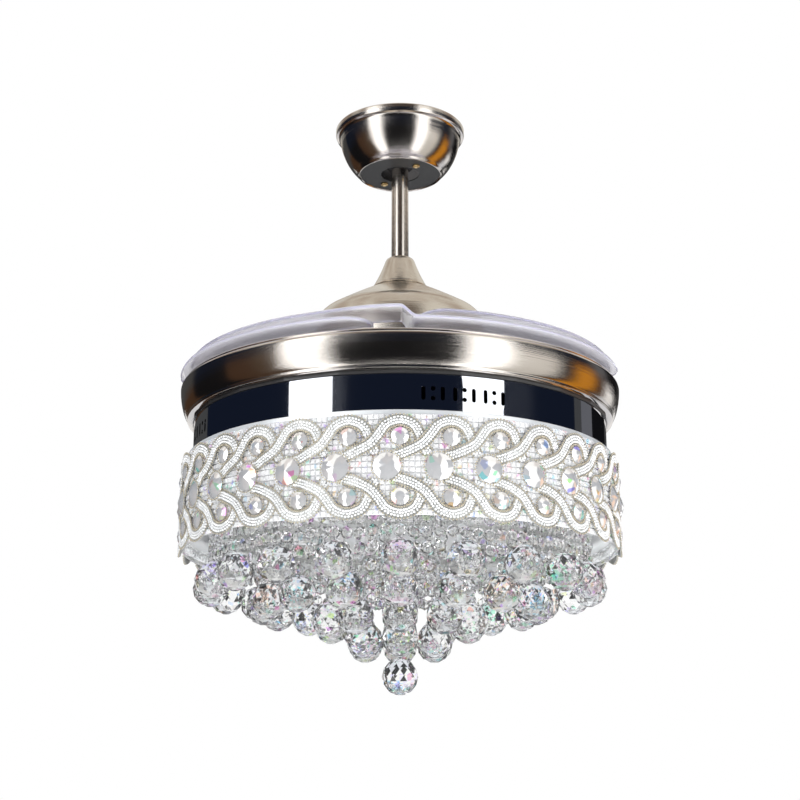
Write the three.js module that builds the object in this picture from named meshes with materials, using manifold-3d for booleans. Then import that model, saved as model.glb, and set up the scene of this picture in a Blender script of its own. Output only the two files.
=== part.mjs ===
// Retractable-blade ceiling fan with a crystal light kit, in millimetres.
// The origin is on the fan's axis at the ceiling, and everything hangs below it. The front is -Y.
// Four curved clear blades lie folded over the drum ring and swing out when the rotor spins.
import * as THREE from 'three';
import { mergeVertices } from 'three/addons/utils/BufferGeometryUtils.js';
import Module from 'manifold-3d';

const wasm = await Module();
wasm.setup();

// ---------------------------------------------------------------- driving sizes

const GAP = 0.3;                     // clearance between seated pieces
const SHEET = 1.6;                   // spun and pressed steel sheet
const ROUND = 40;                    // sides of the large turned pieces

// Hanger and canopy
const CANOPY_R = 76.7;
const CANOPY_FOOT_R = 48;
const CANOPY_H = 58.1;
const CANOPY_RIM_H = 11;
const CANOPY_HOLE_R = 22.5;
const BRACKET_T = 3;
const BRACKET_L = 122;
const BRACKET_W = 28;
const BRACKET_DROP = 47;             // ceiling to the underside of the bracket's foot
const BRACKET_FOOT_L = 80;
const BRACKET_TURN = 125.5;          // degrees, the line of the canopy screws
const BRACKET_SCREW_INSET = 10;
const WIRE_HOLE_X = 36;
const WIRE_HOLE_R = 7;
const CANOPY_SCREW_X = 32.5;
const CANOPY_SCREW_R = 2;
const CANOPY_SCREW_HEAD = [4.4, 2.3];
const BALL_R = 21;
const BALL_DEPTH = 34;               // ceiling to the ball's centre
const BALL_PLAY = 0.5;               // clearance of the ball in its seat
const ROD_R = 10;
const ROD_WALL = 2;
const PIN_R = 3;
const RECEIVER = [20, 68, 24];

// Coupling, bell and dome
const DOME_TOP_Z = -203;
const DOME_FLAT_R = 34;
const DOME_SHOULDER = [95, 25.5];    // radius, and drop below the flat top
const DOME_R = 105;
const DOME_H = 83;
const BELL_H = 37.5;
const BELL_FOOT_R = 32.7;
const BELL_SHOULDER_R = 15.6;
const BELL_SHOULDER_H = 3;
const BELL_PLAY = 1.2;               // clearance of the bell round the rod
const COUPLING_R = 14;
const COUPLING_H = 24;
const COUPLING_SOCKET = 15;
const COUPLING_FLANGE_R = 30;
const COUPLING_FLANGE_T = 4;
const COUPLING_PIN_DROP = 7;
const SHAFT_R = 8.5;
const SHAFT_BORE_R = 4.5;
const SHAFT_TAIL = 3;                // shaft left below its nut

// Motor
const MOTOR_TOP_Z = -230;
const MOTOR_H = 50;
const MOTOR_R = 82;
const MOTOR_WALL = 3;
const MOTOR_EDGE = 8;                // bevel round the ends of the case
const BEARING_R = 13.7;
const BEARING_H = 8;
const MAGNET_T = 3;
const AIR_GAP = 1.5;
const STATOR_H = 24;
const STATOR_TEETH = 9;
const HUB_R = 40;
const HUB_RUN = 3.5;                 // running clearance of the hub round the shaft
const HUB_PLAY = 0.5;                // running clearance of the sun gear round the hub

// Blade mechanism
const BLADES = 4;
const PIVOT_PHASE = 105;             // azimuth of the first pivot, degrees
const MODULE = 6;
const PINION_TEETH = 10;
const SUN_TEETH = 40;
const PINION_T = 6.5;
const SUN_T = 5.5;
const SUN_RIM = 18;
const SUN_SPOKE_W = 16;
const CARRIER_Z = -330;              // top of the blade carrier
const CARRIER_T = 3;
const CARRIER_MARGIN = 4;
const CARRIER_WINDOW_R = 28;
const PIVOT_PIN_R = 5;
const PIVOT_HEAD = [9, 3];
const PIVOT_BOSS_R = 11;
const SPRING_WIRE_R = 0.8;
const SPRING_TURNS = 2;
const SPRING_PLAY = 1.6;             // clearance of the coil round the boss

// Blades as they lie folded: radii from the fan's axis, degrees round it from the blade's pivot
const BLADE_T = 4;
const BLADE_UPPER_Z = -309;          // underside of the root half
const BLADE_LOWER_Z = -320;          // underside of the tip half, which runs under the next root
const BLADE_CREST = 3.5;             // rise of the root half just before it steps down
const BLADE_CREST_FROM = 50;
const BLADE_STEP_FROM = 75;
const BLADE_STEP_TO = 79;
const BLADE_ROOT_END = -11;
const BLADE_TIP_END = 158;
const BLADE_CAP = 8;                 // degrees of rounding at either end
const BLADE_LOBE_R = 28;             // material round the pivot
const BLADE_LOBE_SWEEP = 36;
const BLADE_INNER_R = 190;
const BLADE_ROOT_R = 239;
const BLADE_TIP_R = 249;
const BLADE_CAMBER = 1.5;

// Ring, chassis and drum
const RING_TOP_Z = -328.7;
const RING_H = 39.8;
const RING_TOP_R = 245.2;
const RING_MOUTH = 5;                // width of the rolled top edge
const RING_R = 248;
const RING_FOOT_R = 238.75;
const RING_FLANGE = 14;
const CHASSIS_T = 3;
const CHASSIS_INSET = 4.75;          // ring's foot to the plate's edge
const CHASSIS_BOSS = [20, 7];
const NUT_R = 16;
const NUT_H = 10;
const DRUM_R = 232;
const DRUM_H = 52;
const DRUM_FLANGE = 10;
const DRUM_LIP = 6;
const VENT_AZIMUTH = 286;            // azimuth of the first vent group, degrees
const VENT_GROUPS = 4;
const VENT_UNITS = 3;
const VENT_UNIT_PITCH = 32;
const VENT_SLOT_OFFSET = 9.7;
const VENT_SLOT = [4.2, 14];
const VENT_DOT_R = 2.4;
const VENT_DOT_PITCH = 10;
const VENT_DROP = 20;                // drum top to the middle of the vents

// Light kit
const PAN_T = 1.4;
const LED_BOARD_W = 110;
const LED_BOARD_INSET = 32;          // drum's wall to the board's edge
const LED_BOARD_T = 1.6;
const DRIVER = [110, 46, 26];
const DRIVER_X = 95;
const STANDOFFS = 4;
const STANDOFF_R = 3;
const STANDOFF_INSET = 17;           // drum's wall to the standoffs' middles
const FRAME_Z = -498;                // top of the plate that the crystals hang from
const FRAME_T = 4;
const FRAME_RIM = 40;
const FRAME_DISC_R = 88;
const FRAME_SPOKE_W = 12;
const FRAME_WINDOWS = 6;

// Crystal band
const BAND_UNITS = 30;
const BAND_PLAY = 6.5;               // drum's wall to the band's inside
const BAND_T = 3;
const BAND_TOP_Z = -415.8;
const BAND_H = 105.2;
const BAND_LOOP_R = 25;
const BAND_COLUMNS = 4;              // columns of the sheet in each unit
const COLLAR_H = 5;
const STONE_R = 14.5;
const STONE_RISE = 3;
const STONE_DROP = 51;               // band's top to the middle of the large stones
const STONE_SHIFT = -3;              // degrees: the large stones sit left of the loops
const EYE = [10, 16];

// Hanging crystals
const BALL_CRYSTAL_R = 20;
const BEAD_R = 7;
const WIRE_R = 1;
const HOOP_W = 6;
const HOOP_T = 2;
const TIER_DROPS = [50, 70, 88, 109]; // plate to the middles of each ring's balls
const TIERS = [                      // share: a ring's radius over the band's
  { name: 'crystal_tier_outer', share: 0.8763, balls: 20, sides: 20, beads: true },
  { name: 'crystal_tier_second', share: 0.6289, balls: 16, sides: 16, beads: false },
  { name: 'crystal_tier_third', share: 0.3354, balls: 10, sides: 20, beads: false },
  { name: 'crystal_tier_inner', share: 0.1845, balls: 6, sides: 12, beads: false },
];
const CENTRE_DROP_H = 146;           // plate to the middle of the lowest ball
const DROP_HOLE_R = 3;

// ---------------------------------------------------------------- worked-out sizes

const DEG = Math.PI / 180;
const ADDENDUM = 0.9 * MODULE;
const DEDENDUM = 1.2 * MODULE;
const PINION_PITCH_R = (MODULE * PINION_TEETH) / 2;
const SUN_PITCH_R = (MODULE * SUN_TEETH) / 2;
const PIVOT_R = SUN_PITCH_R + PINION_PITCH_R;
const BALL_Z = -BALL_DEPTH;
const LEG_X = BALL_R + BRACKET_T;
const RECEIVER_X = -(LEG_X + BRACKET_T / 2 + GAP + RECEIVER[0] / 2);
const ROD_TOP_Z = BALL_Z + 0.7 * BALL_R;
const BELL_FOOT_Z = DOME_TOP_Z + SHEET + GAP;
const BELL_TOP_Z = BELL_FOOT_Z + BELL_H;
const COUPLING_BASE_Z = DOME_TOP_Z - SHEET - GAP;
const COUPLING_TOP_Z = COUPLING_BASE_Z + COUPLING_H;
const COUPLING_PIN_Z = COUPLING_TOP_Z - COUPLING_PIN_DROP;
const ROD_SEAT_Z = COUPLING_TOP_Z - COUPLING_SOCKET;
const MOTOR_MIDDLE_Z = MOTOR_TOP_Z - MOTOR_H / 2;
const MOTOR_FOOT_Z = MOTOR_TOP_Z - MOTOR_H;
const MAGNET_R = MOTOR_R - MOTOR_WALL - GAP;
const STATOR_R = MAGNET_R - MAGNET_T - AIR_GAP;
const HUB_BORE_R = SHAFT_R + HUB_RUN;
const CARRIER_R = PIVOT_R + PINION_PITCH_R + ADDENDUM + CARRIER_MARGIN;
const GEAR_Z = CARRIER_Z + GAP;
const SPRING_FOOT_Z = GEAR_Z + PINION_T + GAP + SPRING_WIRE_R;
const SPRING_HEAD_Z = BLADE_UPPER_Z - GAP - SPRING_WIRE_R;
const SPRING_COIL_R = PIVOT_BOSS_R + SPRING_WIRE_R + SPRING_PLAY;
const CHASSIS_R = RING_FOOT_R - CHASSIS_INSET;
const CHASSIS_Z = RING_TOP_Z - RING_H - GAP;
const CHASSIS_FOOT_Z = CHASSIS_Z - CHASSIS_T;
const DRUM_TOP_Z = CHASSIS_FOOT_Z - GAP;
const DRUM_FOOT_Z = DRUM_TOP_Z - DRUM_H;
const PAN_Z = DRUM_FOOT_Z + SHEET + GAP;
const STANDOFF_PLACE_R = DRUM_R - STANDOFF_INSET;
const LED_BOARD_R = DRUM_R - LED_BOARD_INSET;
const BAND_R = DRUM_R + BAND_PLAY;
const BAND_FOOT_Z = BAND_TOP_Z - BAND_H;
const COLLAR_FOOT_Z = BAND_TOP_Z + GAP;
const FRAME_FOOT_Z = FRAME_Z - FRAME_T;
const DROP_BALL_Z = FRAME_FOOT_Z - CENTRE_DROP_H;

// ---------------------------------------------------------------- shaping tools

// Joins shared vertices, drops empty triangles and turns every face outwards.
function closed(geometry) {
  const bare = geometry.clone();
  bare.deleteAttribute('normal');
  bare.deleteAttribute('uv');
  const merged = mergeVertices(bare, 1e-4);
  const corners = merged.index.array;
  const kept = [];
  let volume = 0;
  const [a, b, c] = [new THREE.Vector3(), new THREE.Vector3(), new THREE.Vector3()];
  for (let i = 0; i < corners.length; i += 3) {
    const [p, q, r] = [corners[i], corners[i + 1], corners[i + 2]];
    if (p === q || q === r || r === p) continue;
    kept.push(p, q, r);
    a.fromBufferAttribute(merged.attributes.position, p);
    b.fromBufferAttribute(merged.attributes.position, q);
    c.fromBufferAttribute(merged.attributes.position, r);
    volume += a.dot(b.cross(c));
  }
  merged.setIndex(volume < 0 ? kept.reverse() : kept);
  merged.computeVertexNormals();
  return merged;
}

function meshOf(positions, index) {
  const geometry = new THREE.BufferGeometry();
  geometry.setAttribute('position', new THREE.Float32BufferAttribute(positions, 3));
  geometry.setIndex(index);
  return geometry;
}

function toSolid(geometry) {
  const mesh = closed(geometry);
  return new wasm.Manifold(new wasm.Mesh({
    numProp: 3,
    vertProperties: new Float32Array(mesh.attributes.position.array),
    triVerts: new Uint32Array(mesh.index.array),
  }));
}

function toGeometry(solid) {
  const mesh = solid.getMesh();
  const geometry = meshOf([...mesh.vertProperties], [...mesh.triVerts]);
  geometry.computeVertexNormals();
  return geometry;
}

function joined(geometries) {
  return toGeometry(geometries.map(toSolid).reduce((whole, piece) => whole.add(piece)));
}

function cut(geometry, cutters) {
  return toGeometry(cutters.reduce((left, cutter) => left.subtract(toSolid(cutter)), toSolid(geometry)));
}

// A closed profile of [radius, height] points, turned about Z.
function turned(profile, segments) {
  const points = profile.map(([r, z]) => new THREE.Vector2(r, z));
  return closed(new THREE.LatheGeometry(points, segments).rotateX(Math.PI / 2));
}

// The profile of a sheet: an outline of its outer face, and the same outline set inwards.
function sheetProfile(outline, thickness = SHEET) {
  const inner = outline.map(([r, z], i) => {
    const [r0, z0] = outline[Math.max(i - 1, 0)];
    const [r1, z1] = outline[Math.min(i + 1, outline.length - 1)];
    const before = new THREE.Vector2(r - r0, z - z0).normalize();
    const after = new THREE.Vector2(r1 - r, z1 - z).normalize();
    const along = before.clone().add(after).normalize();
    const side = new THREE.Vector2(along.y, -along.x);
    const isEnd = i === 0 || i === outline.length - 1;
    const stretch = isEnd ? 1 : 1 / Math.max(Math.abs(side.x * after.y - side.y * after.x), 0.5);
    return [r + side.x * thickness * stretch, z + side.y * thickness * stretch];
  });
  return [...outline, ...inner.reverse(), outline[0]];
}

// Points along a swelling line between two [radius, height] points, without the first.
function swell(from, bend, to, steps) {
  const [a, b, c] = [from, bend, to].map(([r, z]) => new THREE.Vector2(r, z));
  const points = new THREE.QuadraticBezierCurve(a, b, c).getPoints(steps);
  return points.slice(1).map(({ x, y }) => [x, y]);
}

function ringProfile(innerR, outerR, lowZ, highZ) {
  return [[innerR, lowZ], [outerR, lowZ], [outerR, highZ], [innerR, highZ], [innerR, lowZ]];
}

function rod(radius, lowZ, highZ, sides, x = 0, y = 0) {
  const cylinder = new THREE.CylinderGeometry(radius, radius, highZ - lowZ, sides);
  return cylinder.rotateX(Math.PI / 2).translate(x, y, (lowZ + highZ) / 2);
}

// A drilling: its flats, and not its corners, lie at the radius.
function bore(radius, lowZ, highZ, sides, x = 0, y = 0) {
  return rod(radius / Math.cos(Math.PI / sides), lowZ, highZ, sides, x, y);
}

// A pin or drilling across the axis, along Y.
function crossRod(radius, length, z) {
  return new THREE.CylinderGeometry(radius, radius, length, 8).translate(0, 0, z);
}

function block([sizeX, sizeY, sizeZ], x, y, topZ) {
  return new THREE.BoxGeometry(sizeX, sizeY, sizeZ).translate(x, y, topZ - sizeZ / 2);
}

// A flat plate cut from a shape, its underside at z = 0.
function plate(shape, thickness, curveSegments = 3) {
  return new THREE.ExtrudeGeometry(shape, { depth: thickness, bevelEnabled: false, curveSegments });
}

function circlePoints(radius, sides, x = 0, y = 0) {
  return Array.from({ length: sides }, (_, i) => {
    const angle = (i * 2 * Math.PI) / sides;
    return new THREE.Vector2(x + radius * Math.cos(angle), y + radius * Math.sin(angle));
  });
}

// A round hole in a plate, its flats at the radius.
function holePath(radius, sides, x = 0, y = 0) {
  return new THREE.Path(circlePoints(radius / Math.cos(Math.PI / sides), sides, x, y));
}

// Windows between the spokes of a wheel, from the inner to the outer radius.
function spokeWindows(count, innerR, outerR, spokeW) {
  return Array.from({ length: count }, (_, k) => {
    const turn = (k * 2 * Math.PI) / count;
    const next = ((k + 1) * 2 * Math.PI) / count;
    const outerTrim = Math.asin(spokeW / 2 / outerR);
    const innerTrim = Math.asin(spokeW / 2 / innerR);
    const window = new THREE.Path();
    window.absarc(0, 0, outerR, turn + outerTrim, next - outerTrim, false);
    window.absarc(0, 0, innerR, next - innerTrim, turn + innerTrim, true);
    return window;
  });
}

// A gear's outline: straight-sided teeth with running clearance, the first one on +X.
function gearShape(teeth, pitchR) {
  const corners = [
    { share: -0.27, radius: pitchR - DEDENDUM },
    { share: -0.12, radius: pitchR + ADDENDUM },
    { share: 0.12, radius: pitchR + ADDENDUM },
    { share: 0.27, radius: pitchR - DEDENDUM },
  ];
  const points = [];
  for (let tooth = 0; tooth < teeth; tooth += 1) {
    for (const { share, radius } of corners) {
      const angle = ((tooth + share) * 2 * Math.PI) / teeth;
      points.push(new THREE.Vector2(radius * Math.cos(angle), radius * Math.sin(angle)));
    }
  }
  return new THREE.Shape(points);
}

// ---------------------------------------------------------------- finishes

function finish(color, roughness, metalness, extra = {}) {
  return new THREE.MeshStandardMaterial({ color, roughness, metalness, ...extra });
}

const nickel = finish(0xb9b4ab, 0.28, 1);
const satin = finish(0xb5aea2, 0.42, 1);
const chrome = finish(0xdfe2e8, 0.05, 1);
const steel = finish(0x8d9094, 0.45, 0.9);
const zincPlate = finish(0xa6a9ab, 0.5, 0.8);
const aluminium = finish(0xa9abad, 0.5, 0.9);
const magnet = finish(0x4a4b4e, 0.6, 0.3);
const blackPlastic = finish(0x202224, 0.6, 0);
const whitePlastic = finish(0xe8e8e4, 0.5, 0);
const acetal = finish(0xe3e0d6, 0.45, 0);
const springSteel = finish(0x55585c, 0.4, 0.9);
const copper = finish(0xa8643a, 0.4, 0.8);
const brass = finish(0xb08d4a, 0.35, 1);
const clearBlade = finish(0xdcd8f2, 0.08, 0, { transparent: true, opacity: 0.35 });
const crystal = finish(0xf4f6fa, 0.03, 0, { transparent: true, opacity: 0.6 });

const fan = new THREE.Group();

function add(name, geometry, material, parent = fan) {
  const piece = new THREE.Mesh(geometry, material);
  piece.name = name;
  parent.add(piece);
  return piece;
}

// ---------------------------------------------------------------- hanger in the ceiling

// Pressed steel bracket: a plate on the ceiling, two legs, and a foot in which the ball sits.
function hangerBracket() {
  const footTopZ = BRACKET_T - BRACKET_DROP;
  const leg = [BRACKET_T, BRACKET_W, BRACKET_DROP - BRACKET_T];
  const pieces = [
    block([BRACKET_L, BRACKET_W, BRACKET_T], 0, 0, 0),
    block(leg, LEG_X, 0, -BRACKET_T / 2),
    block(leg, -LEG_X, 0, -BRACKET_T / 2),
    block([BRACKET_FOOT_L, BRACKET_W, BRACKET_T], 0, 0, footTopZ),
  ];
  const seat = new THREE.SphereGeometry(BALL_R + BALL_PLAY, 20, 12).rotateX(Math.PI / 2);
  const throughFoot = [-2 * BRACKET_DROP, footTopZ + 1];
  const throughTop = [-BRACKET_T - 1, 1];
  const fixing = BRACKET_L / 2 - BRACKET_SCREW_INSET;
  return cut(joined(pieces), [
    seat.translate(0, 0, BALL_Z),
    bore(CANOPY_SCREW_R + GAP, ...throughFoot, 8, CANOPY_SCREW_X),
    bore(CANOPY_SCREW_R + GAP, ...throughFoot, 8, -CANOPY_SCREW_X),
    bore(PIN_R, ...throughTop, 8, fixing),
    bore(PIN_R, ...throughTop, 8, -fixing),
    bore(WIRE_HOLE_R, ...throughTop, 10, WIRE_HOLE_X),
  ]);
}

// Spun canopy that hides the bracket, closed below but for the hole round the rod.
function canopyShell() {
  const shoulder = [CANOPY_R - 2, -CANOPY_RIM_H];
  const outline = [
    [CANOPY_R, 0],
    [CANOPY_R, 2 - CANOPY_RIM_H],
    shoulder,
    ...swell(shoulder, [CANOPY_R - 7, -0.78 * CANOPY_H], [CANOPY_FOOT_R, -CANOPY_H], 3),
    [CANOPY_HOLE_R, -CANOPY_H],
  ];
  const holes = [CANOPY_SCREW_X, -CANOPY_SCREW_X]
    .map((x) => bore(CANOPY_SCREW_R + GAP, -CANOPY_H - 1, SHEET + 1 - CANOPY_H, 8, x));
  return cut(turned(sheetProfile(outline), 24), holes);
}

function canopyScrew(x) {
  const [headR, headH] = CANOPY_SCREW_HEAD;
  const headTopZ = -CANOPY_H - GAP;
  const shankTopZ = BRACKET_T + 4 - BRACKET_DROP;
  return joined([
    rod(headR, headTopZ - headH, headTopZ, 10, x),
    rod(CANOPY_SCREW_R, headTopZ - headH / 2, shankTopZ, 8, x),
  ]);
}

// The ball that hangs in the bracket, bored for the rod and cross-drilled for its pin.
function hangerBall() {
  const ball = new THREE.SphereGeometry(BALL_R, 16, 8).rotateX(Math.PI / 2).translate(0, 0, BALL_Z);
  const rodBore = bore(ROD_R + GAP, BALL_Z - 2 * BALL_R, BALL_Z + 2 * BALL_R, 16);
  return cut(ball, [rodBore, crossRod(PIN_R + GAP, 4 * BALL_R, BALL_Z)]);
}

function downrod() {
  const tube = turned(ringProfile(ROD_R - ROD_WALL, ROD_R, ROD_SEAT_Z + GAP, ROD_TOP_Z), 16);
  const across = 4 * ROD_R;
  return cut(tube, [crossRod(PIN_R + GAP, across, BALL_Z), crossRod(PIN_R + GAP, across, COUPLING_PIN_Z)]);
}

// Coupling: the rod is pinned in its top, the motor shaft stands in its foot.
function coupling() {
  const footZ = COUPLING_BASE_Z - COUPLING_FLANGE_T;
  const socketR = ROD_R + GAP;
  const boreR = SHAFT_R + GAP;
  const body = turned([
    [socketR, COUPLING_TOP_Z],
    [COUPLING_R, COUPLING_TOP_Z],
    [COUPLING_R, COUPLING_BASE_Z],
    [COUPLING_FLANGE_R, COUPLING_BASE_Z],
    [COUPLING_FLANGE_R, footZ],
    [boreR, footZ],
    [boreR, ROD_SEAT_Z],
    [socketR, ROD_SEAT_Z],
    [socketR, COUPLING_TOP_Z],
  ], 16);
  return cut(body, [crossRod(PIN_R + GAP, 4 * COUPLING_R, COUPLING_PIN_Z)]);
}

const hanger = new THREE.Group();
hanger.rotation.z = BRACKET_TURN * DEG;
fan.add(hanger);
add('hanger_bracket', hangerBracket(), zincPlate, hanger);
add('canopy', canopyShell(), nickel, hanger);
add('canopy_screw_front', canopyScrew(-CANOPY_SCREW_X), brass, hanger);
add('canopy_screw_back', canopyScrew(CANOPY_SCREW_X), brass, hanger);
add('remote_receiver', block(RECEIVER, RECEIVER_X, 0, -BRACKET_T - GAP), blackPlastic, hanger);
add('hanger_ball', hangerBall(), blackPlastic, hanger);
add('hanger_pin', crossRod(PIN_R, 2 * BALL_R - 6, BALL_Z), steel, hanger);
add('downrod', downrod(), nickel, hanger);
add('coupling', coupling(), zincPlate, hanger);
add('coupling_pin', crossRod(PIN_R, 2 * COUPLING_R + 1, COUPLING_PIN_Z), steel, hanger);

// ---------------------------------------------------------------- bell and dome

function bellCover() {
  const outline = [
    [ROD_R + BELL_PLAY, BELL_TOP_Z],
    [ROD_R + 3, BELL_TOP_Z - 0.6],
    [BELL_SHOULDER_R, BELL_TOP_Z - BELL_SHOULDER_H],
    [BELL_FOOT_R, BELL_FOOT_Z],
  ];
  return turned(sheetProfile(outline), 16);
}

// Dome over the motor: a flat top under the bell, a spun shoulder and a long skirt.
function domeCover() {
  const [shoulderR, shoulderDrop] = DOME_SHOULDER;
  const flat = [DOME_FLAT_R, DOME_TOP_Z];
  const shoulder = [shoulderR, DOME_TOP_Z - shoulderDrop];
  const crown = [0.68 * shoulderR, DOME_TOP_Z - 0.42 * shoulderDrop];
  const skirt = [DOME_R - 1, DOME_TOP_Z - 1.4 * shoulderDrop];
  const outline = [
    [COUPLING_R + GAP, DOME_TOP_Z],
    flat,
    ...swell(flat, crown, shoulder, 3),
    ...swell(shoulder, skirt, [DOME_R, DOME_TOP_Z - DOME_H], 2),
  ];
  return turned(sheetProfile(outline), 28);
}

add('bell_cover', bellCover(), satin);
add('dome_cover', domeCover(), satin);

// ---------------------------------------------------------------- motor

function statorCore() {
  const corners = [[-0.36, 1], [0.36, 1], [0.2, 0.88], [0.16, 0.5], [0.5, 0.47]];
  const points = [];
  for (let tooth = 0; tooth < STATOR_TEETH; tooth += 1) {
    for (const [share, reach] of corners) {
      const angle = ((tooth + share) * 2 * Math.PI) / STATOR_TEETH;
      const radius = STATOR_R * reach;
      points.push(new THREE.Vector2(radius * Math.cos(angle), radius * Math.sin(angle)));
    }
  }
  const shape = new THREE.Shape(points);
  shape.holes.push(holePath(SHAFT_R + GAP, 16));
  return plate(shape, STATOR_H).translate(0, 0, MOTOR_MIDDLE_Z - STATOR_H / 2);
}

// One half of the spinning motor case: a pressed bowl that holds a bearing in its neck.
function motorCase(side) {
  const endZ = (MOTOR_H / 2) * side;
  const seamZ = (GAP / 2) * side;
  const innerZ = endZ - MOTOR_WALL * side;
  const neckZ = endZ - BEARING_H * side;
  const neckR = BEARING_R + GAP;
  return turned([
    [neckR, endZ],
    [MOTOR_R - MOTOR_EDGE, endZ],
    [MOTOR_R, endZ - MOTOR_EDGE * side],
    [MOTOR_R, seamZ],
    [MOTOR_R - MOTOR_WALL, seamZ],
    [MOTOR_R - MOTOR_WALL, endZ - (MOTOR_EDGE + 1) * side],
    [MOTOR_R - MOTOR_EDGE - 1, innerZ],
    [neckR + MOTOR_WALL, innerZ],
    [neckR + MOTOR_WALL, neckZ],
    [neckR, neckZ],
    [neckR, endZ],
  ], 20).translate(0, 0, MOTOR_MIDDLE_Z);
}

function bearing(topZ) {
  return turned(ringProfile(SHAFT_R + GAP, BEARING_R, topZ - BEARING_H + GAP, topZ - GAP), 16);
}

function magnetRing() {
  const halfH = STATOR_H / 2;
  const profile = ringProfile(MAGNET_R - MAGNET_T, MAGNET_R, MOTOR_MIDDLE_Z - halfH, MOTOR_MIDDLE_Z + halfH);
  return turned(profile, 20);
}

// Cast hub bolted under the motor case; the blade carrier is fixed to its foot.
function rotorHub() {
  const topZ = MOTOR_FOOT_Z - GAP;
  const flangeR = HUB_R + MOTOR_EDGE;
  return turned([
    [HUB_BORE_R, topZ],
    [flangeR, topZ],
    [flangeR, topZ - MOTOR_WALL],
    [HUB_R, topZ - 2 * MOTOR_WALL],
    [HUB_R, GEAR_Z],
    [HUB_BORE_R, GEAR_Z],
    [HUB_BORE_R, topZ],
  ], 20);
}

// Fixed hollow shaft, from the coupling through the motor and rotor to the chassis and its nut.
const shaftFootZ = DRUM_TOP_Z - NUT_H - SHAFT_TAIL;
const shaftProfile = ringProfile(SHAFT_BORE_R, SHAFT_R, shaftFootZ, ROD_SEAT_Z - GAP);
add('motor_shaft', turned(shaftProfile, 16), steel);
add('stator', statorCore(), copper);
add('magnet_ring', magnetRing(), magnet);
add('motor_case_upper', motorCase(1), aluminium);
add('motor_case_lower', motorCase(-1), aluminium);
add('bearing_upper', bearing(MOTOR_TOP_Z), steel);
add('bearing_lower', bearing(MOTOR_FOOT_Z + BEARING_H), steel);
add('rotor_hub', rotorHub(), aluminium);

// ---------------------------------------------------------------- blade carrier and gears

function bladeCarrier() {
  const disc = new THREE.Shape(circlePoints(CARRIER_R, 32));
  disc.holes.push(holePath(HUB_BORE_R, 16));
  for (let k = 0; k < BLADES; k += 1) {
    const pivot = (PIVOT_PHASE + (360 / BLADES) * k) * DEG;
    const between = pivot + Math.PI / BLADES;
    const windowR = 0.7 * PIVOT_R;
    disc.holes.push(holePath(PIVOT_PIN_R + GAP, 8, PIVOT_R * Math.cos(pivot), PIVOT_R * Math.sin(pivot)));
    disc.holes.push(holePath(CARRIER_WINDOW_R, 12, windowR * Math.cos(between), windowR * Math.sin(between)));
  }
  return plate(disc, CARRIER_T).translate(0, 0, CARRIER_Z - CARRIER_T);
}

// Spoked sun gear that turns on the hub and keeps the four blades in step.
function syncGear() {
  const shape = gearShape(SUN_TEETH, SUN_PITCH_R);
  const rimR = SUN_PITCH_R - SUN_RIM;
  shape.holes.push(...spokeWindows(BLADES, HUB_R + SUN_SPOKE_W, rimR, SUN_SPOKE_W));
  shape.holes.push(holePath(HUB_R + HUB_PLAY, 24));
  return plate(shape, SUN_T).rotateZ(PIVOT_PHASE * DEG).translate(0, 0, GEAR_Z);
}

// Pinion under each blade: its boss carries the blade on the pivot pin.
function pinion() {
  const gapToSun = (PINION_TEETH % 2 === 0 ? 1 : 0) * (Math.PI / PINION_TEETH);
  const teeth = plate(gearShape(PINION_TEETH, PINION_PITCH_R), PINION_T).rotateZ(gapToSun);
  const bossTop = BLADE_UPPER_Z - GAP - GEAR_Z;
  const boss = rod(PIVOT_BOSS_R, PINION_T / 2, bossTop, 10);
  return cut(joined([teeth, boss]), [bore(PIVOT_PIN_R + GAP, -1, bossTop + 1, 8)]);
}

function pivotPin() {
  const [headR, headH] = PIVOT_HEAD;
  const headZ = BLADE_UPPER_Z + BLADE_T + GAP;
  const footZ = CARRIER_Z - CARRIER_T - GAP;
  return joined([
    rod(PIVOT_PIN_R, footZ - headH / 2, headZ + headH / 2, 8),
    rod(headR, headZ, headZ + headH, 10),
    rod(headR, footZ - headH, footZ, 10),
  ]);
}

// Torsion spring round the pinion's boss, wound as one open coil.
class Coil extends THREE.Curve {
  constructor(radius, height, turns) {
    super();
    Object.assign(this, { radius, height, turns });
  }

  getPoint(t, target = new THREE.Vector3()) {
    const angle = 2 * Math.PI * this.turns * t;
    return target.set(this.radius * Math.cos(angle), this.radius * Math.sin(angle), this.height * t);
  }
}

const springPath = new Coil(SPRING_COIL_R, SPRING_HEAD_Z - SPRING_FOOT_Z, SPRING_TURNS);

function returnSpring() {
  const coil = new THREE.ExtrudeGeometry(new THREE.Shape(circlePoints(SPRING_WIRE_R, 5)), {
    steps: 8 * SPRING_TURNS, bevelEnabled: false, extrudePath: springPath,
  });
  return closed(coil).translate(0, 0, SPRING_FOOT_Z);
}

// Least gap between one turn of the spring and the next, measured on points along its wire.
function springGap() {
  const oneTurn = 60;
  const points = springPath.getPoints(oneTurn * SPRING_TURNS);
  const gaps = points.slice(oneTurn).map((point, i) => point.distanceTo(points[i]));
  return Math.min(...gaps) - 2 * SPRING_WIRE_R;
}

console.log(`return spring: least gap between turns ${springGap().toFixed(2)} mm`);

// ---------------------------------------------------------------- blades

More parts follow.
